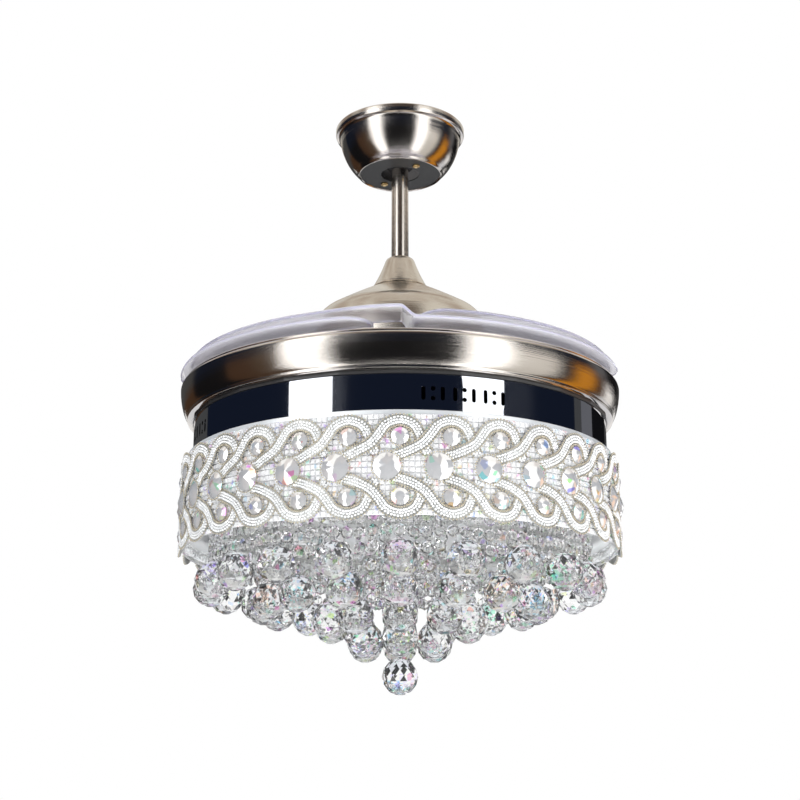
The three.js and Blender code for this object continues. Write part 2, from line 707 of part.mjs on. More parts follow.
// Inner and outer radius and underside of the folded blade, some degrees round from its pivot.
function bladeSection(degrees) {
  const { lerp, smoothstep } = THREE.MathUtils;
  const down = smoothstep(degrees, BLADE_STEP_FROM, BLADE_STEP_TO);
  const lobe = smoothstep(Math.abs(degrees), 0, BLADE_LOBE_SWEEP);
  const inner = lerp(PIVOT_R - BLADE_LOBE_R, BLADE_INNER_R, lobe);
  const outer = lerp(BLADE_ROOT_R, BLADE_TIP_R, down);
  const pastRoot = Math.max(BLADE_ROOT_END + BLADE_CAP - degrees, 0) / BLADE_CAP;
  const pastTip = Math.max(degrees - BLADE_TIP_END + BLADE_CAP, 0) / BLADE_CAP;
  const round = Math.sqrt(1 - (0.97 * Math.max(pastRoot, pastTip)) ** 2);
  const middle = (inner + outer) / 2;
  const half = ((outer - inner) / 2) * round;
  const crest = BLADE_CREST * smoothstep(degrees, BLADE_CREST_FROM, BLADE_STEP_FROM);
  const z = lerp(BLADE_UPPER_Z + crest, BLADE_LOWER_Z, down);
  const camber = BLADE_CAMBER * round * smoothstep(degrees, BLADE_LOBE_SWEEP / 2, 2 * BLADE_LOBE_SWEEP);
  return { inner: middle - half, middle, outer: middle + half, z, camber };
}

// Even stations between two angles, with the first but not the last.
function stationsBetween(from, to, count) {
  return Array.from({ length: count }, (_, i) => from + ((to - from) * i) / count);
}

// Clear moulded blade, drawn with its pivot on +X, its root half high and its tip half low.
function blade() {
  const rootBody = BLADE_ROOT_END + BLADE_CAP;
  const tipBody = BLADE_TIP_END - BLADE_CAP;
  const stations = [
    ...stationsBetween(BLADE_ROOT_END, rootBody, 3),
    ...stationsBetween(rootBody, BLADE_STEP_FROM, 7),
    ...stationsBetween(BLADE_STEP_FROM, BLADE_STEP_TO, 2),
    ...stationsBetween(BLADE_STEP_TO, tipBody, 6),
    ...stationsBetween(tipBody, BLADE_TIP_END, 3),
    BLADE_TIP_END,
  ];
  const positions = [];
  const index = [];
  for (const degrees of stations) {
    const { inner, middle, outer, z, camber } = bladeSection(degrees);
    const topZ = z + BLADE_T;
    const section = [
      [inner, topZ], [middle, topZ + camber], [outer, topZ], [outer, z], [middle, z + camber], [inner, z],
    ];
    for (const [r, height] of section) {
      positions.push(r * Math.cos(degrees * DEG), r * Math.sin(degrees * DEG), height);
    }
  }
  const ring = 6;
  const last = (stations.length - 1) * ring;
  for (let start = 0; start < last; start += ring) {
    for (let i = 0; i < ring; i += 1) {
      const next = (i + 1) % ring;
      index.push(start + i, start + next, start + ring + i);
      index.push(start + next, start + ring + next, start + ring + i);
    }
  }
  for (const [a, b, c] of [[0, 1, 4], [0, 4, 5], [1, 2, 3], [1, 3, 4]]) {
    index.push(a, c, b, last + a, last + b, last + c);
  }
  const hole = bore(PIVOT_PIN_R + GAP, BLADE_UPPER_Z - 1, BLADE_UPPER_Z + 2 * BLADE_T, 8, PIVOT_R);
  return cut(meshOf(positions, index), [hole]);
}

add('blade_carrier', bladeCarrier(), steel);
add('sync_gear', syncGear(), acetal);
for (let k = 0; k < BLADES; k += 1) {
  const station = new THREE.Group();
  station.rotation.z = (PIVOT_PHASE + (360 / BLADES) * k) * DEG;
  fan.add(station);
  add(`blade_${k + 1}`, blade(), clearBlade, station);
  add(`blade_gear_${k + 1}`, pinion(), acetal, station).position.set(PIVOT_R, 0, GEAR_Z);
  add(`pivot_pin_${k + 1}`, pivotPin(), steel, station).position.x = PIVOT_R;
  add(`return_spring_${k + 1}`, returnSpring(), springSteel, station).position.x = PIVOT_R;
}

// ---------------------------------------------------------------- ring, chassis and drum

function drumRing() {
  const footZ = RING_TOP_Z - RING_H;
  return turned(sheetProfile([
    [RING_TOP_R - RING_MOUTH, RING_TOP_Z],
    [RING_TOP_R, RING_TOP_Z],
    [RING_R, RING_TOP_Z - 0.13 * RING_H],
    [RING_R - 2, RING_TOP_Z - 0.55 * RING_H],
    [RING_FOOT_R, footZ],
    [RING_FOOT_R - RING_FLANGE, footZ],
  ]), ROUND);
}

function chassisPlate() {
  const [bossR, bossH] = CHASSIS_BOSS;
  const boreR = SHAFT_R + GAP;
  return turned([
    [boreR, CHASSIS_Z + bossH],
    [bossR, CHASSIS_Z + bossH],
    [bossR + bossH, CHASSIS_Z],
    [CHASSIS_R, CHASSIS_Z],
    [CHASSIS_R, CHASSIS_FOOT_Z],
    [boreR, CHASSIS_FOOT_Z],
    [boreR, CHASSIS_Z + bossH],
  ], 24);
}

function shaftNut() {
  const nut = rod(NUT_R, DRUM_TOP_Z - NUT_H, DRUM_TOP_Z, 6);
  return cut(nut, [bore(SHAFT_R + GAP, DRUM_TOP_Z - 2 * NUT_H, DRUM_TOP_Z + 1, 16)]);
}

// Cutters that stand across the drum's wall.
function ventSlot(azimuth, z) {
  const [width, height] = VENT_SLOT;
  const reach = 5 * width;
  const startR = DRUM_R - reach / 2;
  const outline = [[-0.5, 0.36], [0, 0.5], [0.5, 0.36], [0.5, -0.36], [0, -0.5], [-0.5, -0.36]];
  const corners = outline.map(([x, y]) => new THREE.Vector2(x * width, y * height));
  const slot = plate(new THREE.Shape(corners), reach).rotateX(Math.PI / 2).rotateZ(azimuth + Math.PI / 2);
  return slot.translate(startR * Math.cos(azimuth), startR * Math.sin(azimuth), z);
}

function ventDot(azimuth, z) {
  const dot = new THREE.CylinderGeometry(VENT_DOT_R, VENT_DOT_R, 8 * VENT_DOT_R, 5);
  return dot.rotateZ(azimuth + Math.PI / 2)
    .translate(DRUM_R * Math.cos(azimuth), DRUM_R * Math.sin(azimuth), z);
}

// Drum wall with a flange under the chassis, a lip that carries the light pan, and its vents.
function drum() {
  const wall = turned(sheetProfile([
    [DRUM_R - DRUM_FLANGE, DRUM_TOP_Z],
    [DRUM_R, DRUM_TOP_Z],
    [DRUM_R, DRUM_FOOT_Z],
    [DRUM_R - DRUM_LIP, DRUM_FOOT_Z],
  ]), ROUND);
  const middleZ = DRUM_TOP_Z - VENT_DROP;
  const slotTurn = VENT_SLOT_OFFSET / DRUM_R;
  const cutters = [];
  for (let group = 0; group < VENT_GROUPS; group += 1) {
    for (let unit = 0; unit < VENT_UNITS; unit += 1) {
      const shift = (unit - (VENT_UNITS - 1) / 2) * VENT_UNIT_PITCH;
      const azimuth = (VENT_AZIMUTH + (360 / VENT_GROUPS) * group) * DEG + shift / DRUM_R;
      cutters.push(ventSlot(azimuth - slotTurn, middleZ), ventSlot(azimuth + slotTurn, middleZ));
      cutters.push(ventDot(azimuth, middleZ + VENT_DOT_PITCH / 2));
      cutters.push(ventDot(azimuth, middleZ - VENT_DOT_PITCH / 2));
    }
  }
  return cut(wall, cutters);
}

add('drum_ring', drumRing(), nickel);
add('chassis_plate', chassisPlate(), zincPlate);
add('shaft_nut', shaftNut(), steel);
add('drum', drum(), chrome);

// ---------------------------------------------------------------- light kit

// Plate that the crystals hang from: a rim inside the band, spokes and a middle disc.
function crystalFrame() {
  const outerR = BAND_R - GAP;
  const shape = new THREE.Shape(circlePoints(outerR, ROUND));
  shape.holes.push(...spokeWindows(FRAME_WINDOWS, FRAME_DISC_R, outerR - FRAME_RIM, FRAME_SPOKE_W));
  shape.holes.push(holePath(DROP_HOLE_R, 8));
  return plate(shape, FRAME_T).translate(0, 0, FRAME_FOOT_Z);
}

const panR = DRUM_R - SHEET - GAP;
const panProfile = [[0, PAN_Z], [panR, PAN_Z], [panR, PAN_Z + PAN_T], [0, PAN_Z + PAN_T]];
const boardTopZ = PAN_Z - GAP;
const driverTopZ = PAN_Z + PAN_T + GAP + DRIVER[2];
add('light_pan', turned(panProfile, ROUND), whitePlastic);
const boardRing = ringProfile(LED_BOARD_R - LED_BOARD_W, LED_BOARD_R, boardTopZ - LED_BOARD_T, boardTopZ);
add('led_board', turned(boardRing, 24), whitePlastic);
add('led_driver', block(DRIVER, DRIVER_X, 0, driverTopZ), blackPlastic);
for (let k = 0; k < STANDOFFS; k += 1) {
  const azimuth = ((2 * k + 1) * Math.PI) / STANDOFFS;
  const spot = [STANDOFF_PLACE_R * Math.cos(azimuth), STANDOFF_PLACE_R * Math.sin(azimuth)];
  add(`frame_standoff_${k + 1}`, rod(STANDOFF_R, FRAME_Z + GAP, boardTopZ, 8, ...spot), steel);
}
add('crystal_frame', crystalFrame(), chrome);

// ---------------------------------------------------------------- crystal band

// Azimuth of a place in the band, in units and degrees from the front.
function bandAzimuth(units, degrees = 0) {
  return ((units * 360) / BAND_UNITS + degrees) * DEG - Math.PI / 2;
}

// The band's sheet: a thin ring whose top and bottom edges run in round scallops.
function bandSheet() {
  const positions = [];
  const index = [];
  const columns = BAND_UNITS * BAND_COLUMNS;
  for (let i = 0; i < columns; i += 1) {
    const along = i / BAND_COLUMNS;
    const across = 2 * Math.abs(along - Math.round(along));
    const scallop = BAND_LOOP_R * (1 - Math.sqrt(1 - across * across));
    const azimuth = bandAzimuth(along);
    const [topZ, footZ] = [BAND_TOP_Z - scallop, BAND_FOOT_Z + scallop];
    const outerR = BAND_R + BAND_T;
    for (const [r, z] of [[outerR, topZ], [outerR, footZ], [BAND_R, footZ], [BAND_R, topZ]]) {
      positions.push(r * Math.cos(azimuth), r * Math.sin(azimuth), z);
    }
    const here = 4 * i;
    const there = 4 * ((i + 1) % columns);
    for (let side = 0; side < 4; side += 1) {
      const next = (side + 1) % 4;
      index.push(here + side, here + next, there + side, here + next, there + next, there + side);
    }
  }
  return meshOf(positions, index);
}

// Places a piece that was drawn pointing along Y so that it points out of the band.
function onBand(piece, radius, azimuth, z) {
  const outward = piece.rotateZ(azimuth - Math.PI / 2);
  return outward.translate(radius * Math.cos(azimuth), radius * Math.sin(azimuth), z);
}

function crystalBand() {
  const stones = [];
  const eyes = [];
  const middleZ = BAND_TOP_Z - STONE_DROP;
  const stoneR = BAND_R + BAND_T + (STONE_RISE - 1) / 2;
  const [eyeW, eyeH] = EYE;
  for (let k = 0; k < BAND_UNITS; k += 1) {
    const stone = new THREE.CylinderGeometry(STONE_R / 2, STONE_R, STONE_RISE + 1, 6);
    stones.push(onBand(stone, stoneR, bandAzimuth(k, STONE_SHIFT), middleZ));
    const eye = new THREE.CylinderGeometry(1, 1, 4 * BAND_T, 4).scale(eyeW / 2, 1, eyeH / 2);
    eyes.push(onBand(eye, BAND_R, bandAzimuth(k + 0.5, STONE_SHIFT), middleZ));
  }
  return cut(joined([bandSheet(), ...stones]), eyes);
}

const collarR = BAND_R + BAND_T - GAP;
const collarProfile = ringProfile(DRUM_R + GAP, collarR, COLLAR_FOOT_Z, COLLAR_FOOT_Z + COLLAR_H);
add('band_collar', turned(collarProfile, ROUND), chrome);
add('crystal_band', crystalBand(), crystal);

// ---------------------------------------------------------------- hanging crystals

function crystalBall(x, y, z) {
  return new THREE.SphereGeometry(BALL_CRYSTAL_R, 6, 3).rotateX(Math.PI / 2).translate(x, y, z);
}

// Flat cut bead, its broad face turned outwards.
function bead(azimuth, radius, z) {
  const disc = new THREE.SphereGeometry(BEAD_R, 6, 2).scale(1, 0.45, 1).rotateZ(azimuth + Math.PI / 2);
  return disc.translate(radius * Math.cos(azimuth), radius * Math.sin(azimuth), z);
}

// One ring of strands: a hoop under the frame, and a ball on each wire, under a bead if it has one.
function crystalTier({ share, balls, sides, beads }, drop) {
  const radius = share * BAND_R;
  const ballZ = FRAME_FOOT_Z - drop;
  const hoopTopZ = FRAME_FOOT_Z - GAP;
  const hoopLowZ = hoopTopZ - HOOP_T;
  const ballTopZ = ballZ + BALL_CRYSTAL_R;
  const pieces = [turned(ringProfile(radius - HOOP_W / 2, radius + HOOP_W / 2, hoopLowZ, hoopTopZ), sides)];
  for (let k = 0; k < balls; k += 1) {
    const azimuth = ((2 * k) / balls - 0.5) * Math.PI;
    const [x, y] = [radius * Math.cos(azimuth), radius * Math.sin(azimuth)];
    pieces.push(rod(WIRE_R, ballTopZ - 2, hoopTopZ - 1, 3, x, y));
    if (beads) pieces.push(bead(azimuth, radius, ballTopZ + BEAD_R - 1));
    pieces.push(crystalBall(x, y, ballZ));
  }
  return joined(pieces);
}

// Centre drop: a wire that hangs by its button in the frame's eye, cut beads and the lowest ball.
function centreDrop() {
  const front = -Math.PI / 2;
  const ballTopZ = DROP_BALL_Z + BALL_CRYSTAL_R;
  const buttonZ = FRAME_Z + GAP;
  return joined([
    rod(WIRE_R, ballTopZ - 2, buttonZ + 1, 6),
    rod(DROP_HOLE_R + 1.5, buttonZ, buttonZ + HOOP_T, 8),
    bead(front, 0, ballTopZ + BEAD_R - 1),
    bead(front, 0, ballTopZ + 3 * BEAD_R - 1),
    crystalBall(0, 0, DROP_BALL_Z),
  ]);
}

TIERS.forEach((tier, ring) => {
  add(tier.name, crystalTier(tier, TIER_DROPS[ring]), crystal);
});
add('centre_drop', centreDrop(), crystal);

export default fan;
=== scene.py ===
import math
import random

import bpy
import numpy as np
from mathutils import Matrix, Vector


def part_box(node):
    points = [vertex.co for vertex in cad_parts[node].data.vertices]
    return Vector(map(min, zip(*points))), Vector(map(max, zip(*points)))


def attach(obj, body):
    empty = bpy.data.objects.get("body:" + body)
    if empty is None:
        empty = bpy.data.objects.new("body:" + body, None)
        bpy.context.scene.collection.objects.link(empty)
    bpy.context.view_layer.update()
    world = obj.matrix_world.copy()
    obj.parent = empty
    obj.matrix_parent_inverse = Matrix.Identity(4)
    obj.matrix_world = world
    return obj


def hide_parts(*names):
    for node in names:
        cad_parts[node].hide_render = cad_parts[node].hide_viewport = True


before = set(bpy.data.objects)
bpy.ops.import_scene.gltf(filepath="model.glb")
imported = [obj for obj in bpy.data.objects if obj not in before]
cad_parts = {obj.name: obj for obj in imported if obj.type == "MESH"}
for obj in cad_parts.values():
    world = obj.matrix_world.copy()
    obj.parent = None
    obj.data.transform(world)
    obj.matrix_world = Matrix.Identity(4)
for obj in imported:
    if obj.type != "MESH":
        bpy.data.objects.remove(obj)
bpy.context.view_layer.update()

# ---------------------------------------------------------------- hanger in the ceiling
# A zinc-plated bracket screwed to the ceiling, with a black nylon ball that sits in its foot, the pins, the
# remote receiver and the threaded coupling at the rod's other end. The canopy and the bell hide all of it.


def finish(name, colour, metallic, roughness, grain=(30, 30, 30), relief=0.02, **sockets):
    """A material of one colour whose surface carries a fine procedural grain."""
    material = bpy.data.materials.new(name)
    material.use_nodes = True
    nodes, links = material.node_tree.nodes, material.node_tree.links
    shader = nodes["Principled BSDF"]
    shader.inputs["Base Color"].default_value = (*colour, 1)
    shader.inputs["Metallic"].default_value = metallic
    shader.inputs["Roughness"].default_value = roughness
    for socket, value in sockets.items():
        shader.inputs[socket.replace("_", " ")].default_value = value
    place = nodes.new("ShaderNodeTexCoord")
    stretch = nodes.new("ShaderNodeMapping")
    stretch.inputs["Scale"].default_value = grain
    noise = nodes.new("ShaderNodeTexNoise")
    noise.inputs["Scale"].default_value = 1
    noise.inputs["Detail"].default_value = 4
    bump = nodes.new("ShaderNodeBump")
    bump.inputs["Strength"].default_value = relief
    bump.inputs["Distance"].default_value = 0.001
    links.new(place.outputs["Object"], stretch.inputs["Vector"])
    links.new(stretch.outputs["Vector"], noise.inputs["Vector"])
    links.new(noise.outputs["Fac"], bump.inputs["Height"])
    links.new(bump.outputs["Normal"], shader.inputs["Normal"])
    return material


def brushed(material, amount):
    """Draws a metal's reflections out across the lines that spinning left round the fan's axis."""
    tree = material.node_tree
    around = tree.nodes.new("ShaderNodeTangent")
    around.direction_type = "RADIAL"
    around.axis = "Z"
    shader = tree.nodes["Principled BSDF"]
    shader.inputs["Anisotropic"].default_value = amount
    tree.links.new(around.outputs["Tangent"], shader.inputs["Tangent"])
    return material


def dress(material, *nodes):
    """Gives CAD nodes that stay in view their finish."""
    for node in nodes:
        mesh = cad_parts[node].data
        mesh.materials.clear()
        mesh.materials.append(material)


zinc_plate = finish("zinc_plate", (0.62, 0.63, 0.64), 1, 0.42, (300, 300, 300), 0.05)
black_plastic = finish("black_plastic", (0.02, 0.02, 0.022), 0, 0.5, (400, 400, 400), 0.05)
steel = finish("steel", (0.5, 0.5, 0.51), 1, 0.35, (60, 60, 900), 0.04)
# Zinc darkened to paint the shade inside the canopy, on the bracket and on the cup's inner face.
zinc_painted_shade = finish("zinc_painted_shade", (0.16, 0.16, 0.165), 0.6, 0.6, (300, 300, 300), 0.05)
dress(zinc_plate, "coupling")
dress(zinc_painted_shade, "hanger_bracket")
dress(black_plastic, "remote_receiver", "hanger_ball", "led_driver")
dress(steel, "hanger_pin", "coupling_pin")

# ---------------------------------------------------------------- canopy
# Spun steel cup in brushed nickel with a rolled flange at the ceiling, closed below by a flat base with
# a round hole for the rod. Two brass-headed screws hold it to the bracket.


def mesh_piece(name, corners, faces, material, flat_above=35):
    """An object from points in millimetres, smooth but for edges sharper than flat_above degrees."""
    mesh = bpy.data.meshes.new(name)
    mesh.from_pydata([tuple(c) for c in np.asarray(corners, float) / 1000], [], faces)
    mesh.validate()
    mesh.materials.append(material)
    if flat_above:
        mesh.shade_smooth()
        mesh.set_sharp_from_angle(angle=math.radians(flat_above))
    piece = bpy.data.objects.new(name, mesh)
    bpy.context.scene.collection.objects.link(piece)
    return piece


def bend(start, pull, end, steps):
    """Points along a bow from start to end, drawn towards pull, without the start."""
    start, pull, end = (np.array(p, float) for p in (start, pull, end))
    shares = np.arange(1, steps + 1) / steps
    return [tuple((1 - t) ** 2 * start + 2 * t * (1 - t) * pull + t * t * end) for t in shares]


def walled(outline, thickness):
    """The closed profile of a sheet whose outer face is the outline, drawn from the top down."""
    points = np.array(outline, float)
    along = np.gradient(points, axis=0)
    along /= np.linalg.norm(along, axis=1)[:, None]
    inner = points + thickness * np.column_stack([along[:, 1], -along[:, 0]])
    return [*map(tuple, points), *map(tuple, inner[::-1])]


def joined(here, there, count):
    """Faces between two closed rings of count corners that start at corners here and there."""
    return [(here + j, here + (j + 1) % count, there + (j + 1) % count, there + j) for j in range(count)]


def turned(name, profile, material, sides=192, flat_above=35):
    """A closed profile of (radius, height) points turned about the fan's axis."""
    angles = np.arange(sides) * 2 * math.pi / sides
    corners = [(r * math.cos(a), r * math.sin(a), z) for a in angles for r, z in profile]
    count = len(profile)
    faces = []
    for side in range(sides):
        faces += joined(side * count, (side + 1) % sides * count, count)
    return mesh_piece(name, corners, faces, material, flat_above)


brushed_nickel = brushed(finish("brushed_nickel", (0.76, 0.71, 0.66), 1, 0.12, (3, 3, 1500), 0.15), 0.6)
# The canopy's flat base is near black: painted shade on the canopy's underside, not the nickel's own colour.
canopy_base_painted_shade = finish("canopy_base_painted_shade", (0.03, 0.03, 0.029), 0.1, 0.5, (300, 300, 300), 0.03)
brass = finish("brass", (0.72, 0.52, 0.24), 1, 0.25, (500, 500, 500), 0.04)

CANOPY_FOOT = -58.1
canopy_outline = [
    (72.5, -0.2), (75.4, -0.5), (76.6, -1.8), (76.6, -8.2), (75.9, -9.8), (74.2, -10.6), (72.8, -11.2),
    (71.9, -12.6), *bend((71.9, -12.6), (67.4, -41), (50.2, -56.2), 22), (49.6, -57.4), (48.6, CANOPY_FOOT),
    (47.8, CANOPY_FOOT + 0.2), (47.2, CANOPY_FOOT + 1.0),
]
SHEET = 1.2                          # thickness of the cup and its base
BASE_R, ROD_HOLE_R = 47.0, 22.5
base_z = CANOPY_FOOT + 1.3
canopy_base = [(BASE_R, base_z), (ROD_HOLE_R, base_z), (ROD_HOLE_R, base_z + SHEET), (BASE_R, base_z + SHEET)]
inside = [(r - 1.6, z + 0.4) for r, z in canopy_outline[8:-5]]     # the cup's inner face, in darkened zinc: painted shade inside the canopy
for name, profile, material in (
    ("canopy_cup", walled(canopy_outline, SHEET), brushed_nickel),
    ("canopy_base", canopy_base, canopy_base_painted_shade),
    ("canopy_inside", walled(inside, 0.3), zinc_painted_shade),
):
    canopy = turned(name, profile, material)
    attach(canopy, "ceiling_mount")
    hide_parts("canopy")


def tube(name, path, radius, material, sides=16, closed=False):
    """A round wire along a line of points."""
    path = np.array(path, float)
    along = (np.roll(path, -1, 0) - np.roll(path, 1, 0)) if closed else np.gradient(path, axis=0)
    along /= np.linalg.norm(along, axis=1)[:, None]
    up = np.where(np.abs(along[:, 2:3]) < 0.9, [[0, 0, 1.0]], [[1.0, 0, 0]])
    side = np.cross(along, up)
    side /= np.linalg.norm(side, axis=1)[:, None]
    over = np.cross(side, along)
    angles = np.arange(sides) * 2 * math.pi / sides
    rings = path[:, None] + radius * (
        np.cos(angles)[None, :, None] * side[:, None] + np.sin(angles)[None, :, None] * over[:, None]
    )
    count = len(path)
    faces = []
    for i in range(count if closed else count - 1):
        faces += joined(i * sides, (i + 1) % count * sides, sides)
    if not closed:
        faces += [tuple(range(sides))[::-1], tuple((count - 1) * sides + j for j in range(sides))]
    return mesh_piece(name, rings.reshape(-1, 3), faces, material)


def screw_head(name, x, y, top, radius, height, material):
    """A pan head that hangs from the height top."""
    rings = [
        (0.0, -height), (0.45, -height), (0.8, -0.82 * height), (1.0, -0.45 * height), (1.0, 0.0), (0.0, 0.0),
    ]
    sides = 24
    corners, faces = [], []
    for i in range(sides):
        angle = i * 2 * math.pi / sides
        for share, drop in rings:
            reach = radius * share
            corners.append((x + reach * math.cos(angle), y + reach * math.sin(angle), top + drop))
    count = len(rings)
    for i in range(sides):
        here, there = i * count, (i + 1) % sides * count
        faces += [(here + j, here + j + 1, there + j + 1, there + j) for j in range(count - 1)]
    return mesh_piece(name, corners, faces, material)


SCREW_R, SCREW_H = 4.4, 2.6
for node in ("canopy_screw_front", "canopy_screw_back"):
    low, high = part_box(node)
    x, y = (low.x + high.x) * 500, (low.y + high.y) * 500
    head = screw_head(node + "_head", x, y, base_z, SCREW_R, SCREW_H, brass)
    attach(head, "ceiling_mount")
    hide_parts(node)

# ---------------------------------------------------------------- downrod
# Plain nickel-plated tube, pinned in the ball above and in the coupling below.

ROD_R, ROD_BORE_R = 10, 8
rod_low, rod_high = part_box("downrod")
rod_top, rod_foot = rod_high.z * 1000, rod_low.z * 1000
rod_profile = [(ROD_BORE_R, rod_top), (ROD_R, rod_top), (ROD_R, rod_foot), (ROD_BORE_R, rod_foot)]
downrod = turned("rod_tube", rod_profile, brushed_nickel, 64)
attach(downrod, "fan_body")
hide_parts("downrod")

# ---------------------------------------------------------------- bell and dome
# Two spun covers in softer satin nickel: a small bell that slides down the rod over the coupling, and the
# dome over the motor, whose flat top the bell stands on.

satin_nickel = brushed(finish("satin_nickel", (0.82, 0.77, 0.7), 1, 0.22, (3, 3, 900), 0.2), 0.6)

BELL_TOP, BELL_FOOT = -164, -201.5
bell_outline = [
    (11.4, BELL_TOP), (13.6, BELL_TOP - 0.5), (16.0, BELL_TOP - 2.2), (17.4, BELL_TOP - 5),
    *bend((17.4, BELL_TOP - 5), (23.4, -186), (31.4, -199.8), 12), (32.4, -200.9), (32.7, BELL_FOOT),
]
bell = turned("bell", walled(bell_outline, 1.2), satin_nickel, 96)
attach(bell, "fan_body")
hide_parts("bell_cover")

DOME_TOP, DOME_FOOT = -203, -286
dome_outline = [
    (14.6, DOME_TOP), (33, DOME_TOP), *bend((33, DOME_TOP), (60, -216.6), (88, -233.6), 16),
    *bend((88, -233.6), (104.0, -244.5), (105, DOME_FOOT), 16),
]
dome = turned("dome", walled(dome_outline, 1.4), satin_nickel)
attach(dome, "fan_body")
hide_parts("dome_cover")

# ---------------------------------------------------------------- motor and rotor
# The spinning outer case with its magnets and the wound stator on the fixed shaft are under the dome, and
# the turned hub below them carries the blades. The carrier plate is plain sheet steel, and the fixed
# chassis plate is near black, painted shade for the dark line between the ring and the drum.

aluminium = finish("aluminium", (0.66, 0.67, 0.68), 1, 0.4, (200, 200, 200), 0.08)
copper = finish("copper", (0.6, 0.27, 0.12), 1, 0.35, (200, 200, 900), 0.3)
magnet = finish("magnet", (0.07, 0.07, 0.075), 0.2, 0.6, (300, 300, 300), 0.1)
dress(aluminium, "motor_case_upper", "motor_case_lower")
dress(copper, "stator")
dress(magnet, "magnet_ring")
# Near black on the chassis plate: painted shade for the dark line between the ring and the drum.
chassis_shade_black = finish("chassis_shade_black", (0.02, 0.02, 0.021), 0, 0.4, (200, 200, 200), 0.05)
dress(chassis_shade_black, "chassis_plate")
dress(steel, "motor_shaft", "bearing_upper", "bearing_lower", "shaft_nut", "blade_carrier")

hub_low, hub_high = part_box("rotor_hub")
hub_foot, hub_top = hub_low.z * 1000, hub_high.z * 1000
HUB_PLAY = 3.5                       # running clearance of the hub round the fixed shaft
hub_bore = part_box("motor_shaft")[1].x * 1000 + HUB_PLAY
HUB_R, FLANGE_R = 40, 48
hub_profile = [
    (hub_bore, hub_top), (47.4, hub_top), (FLANGE_R, hub_top - 0.6), (FLANGE_R, hub_top - 2.6),
    (47.4, hub_top - 3.1), (42.2, hub_top - 3.8), (40.6, hub_top - 5), (HUB_R, hub_top - 7),
    (HUB_R, hub_foot), (hub_bore, hub_foot),
]
hub = turned("hub", hub_profile, aluminium, 96)
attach(hub, "rotor")
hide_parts("rotor_hub")

# ---------------------------------------------------------------- blade gears, pins and springs
# Acetal pinions under the blades mesh with one spoked sun gear, which keeps the four in step. Each blade
# turns on a headed steel pin, and an oiled wire spring round the pinion's boss folds it back.

acetal = finish("acetal", (0.8, 0.78, 0.72), 0, 0.4, (150, 150, 150), 0.05, Subsurface_Weight=0.1)
spring_steel = finish("spring_steel", (0.16, 0.165, 0.175), 1, 0.3, (200, 200, 200), 0.05)
dress(acetal, "sync_gear", *(f"blade_gear_{k}" for k in range(1, 5)))
dress(steel, *(f"pivot_pin_{k}" for k in range(1, 5)))

PIVOT_R = 150
PIVOT_AZIMUTHS = (105, 195, 285, 15)
COIL_R, WIRE_R, WINDS = 13.4, 0.8, 2
for k, azimuth in enumerate(PIVOT_AZIMUTHS, 1):
    low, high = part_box(f"return_spring_{k}")
    foot, head = low.z * 1000 + WIRE_R, high.z * 1000 - WIRE_R
    centre = (PIVOT_R * math.cos(math.radians(azimuth)), PIVOT_R * math.sin(math.radians(azimuth)))
    path = [
        (
            centre[0] + COIL_R * math.cos(2 * math.pi * wind + math.radians(azimuth)),
            centre[1] + COIL_R * math.sin(2 * math.pi * wind + math.radians(azimuth)),
            foot + (head - foot) * wind / WINDS,
        )
        for wind in np.linspace(0, WINDS, 73)
    ]
    spring = tube(f"spring_{k}", path, WIRE_R, spring_steel, 10)
    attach(spring, "rotor")
    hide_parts(f"return_spring_{k}")

# ---------------------------------------------------------------- blades
# Four curved blades of clear moulded acrylic with a faint lavender cast and polished edges. The root half
# lies high and the tip half steps down, so that each tip runs under the next blade's root when folded.

clear_blade = finish(
    "clear_blade", (0.97, 0.96, 1.0), 0, 0.04, (8, 8, 8), 0.02, Transmission_Weight=0.7, IOR=1.3,
)
violet_edge = finish(
    "violet_edge", (0.5, 0.44, 0.85), 0, 0.1, (60, 60, 60), 0.02, Transmission_Weight=0.4, IOR=1.3,
)
BLADE_UPPER, BLADE_LOWER, BLADE_T = -309, -320, 4
ROOT_INNER, TIP_INNER = 122, 190     # radii of the folded blade's edges
ROOT_OUTER, TIP_OUTER = 239, 249
STEP_START, STEP_END = 75, 79        # where the blade steps down, in degrees round from its pivot
ROOT_END, TIP_END, ROUNDED = -3, 150, 8


def ease(value, start, end):
    """Goes smoothly from 0 at start to 1 at end."""
    share = min(max((value - start) / (end - start), 0), 1)
    return share * share * (3 - 2 * share)


def blade_section(degrees):
    """Inner and outer radius, underside and camber of a folded blade, degrees round from its pivot."""
    down = ease(degrees, STEP_START, STEP_END)
    inner = ROOT_INNER + (TIP_INNER - ROOT_INNER) * ease(abs(degrees), 0, 36)
    outer = ROOT_OUTER + (TIP_OUTER - ROOT_OUTER) * down
    past = max((ROOT_END - degrees) / ROUNDED, (degrees - TIP_END) / ROUNDED, 0)
    rounding = math.sqrt(max(1 - past**2, 0.0))
    middle, half = (inner + outer) / 2, (outer - inner) / 2 * max(rounding, 0.03)
    under = (BLADE_UPPER + 3.5 * ease(degrees, 50, STEP_START)) * (1 - down) + BLADE_LOWER * down
    return middle - half, middle + half, under, 1.5 * rounding * ease(degrees, 18, 72)


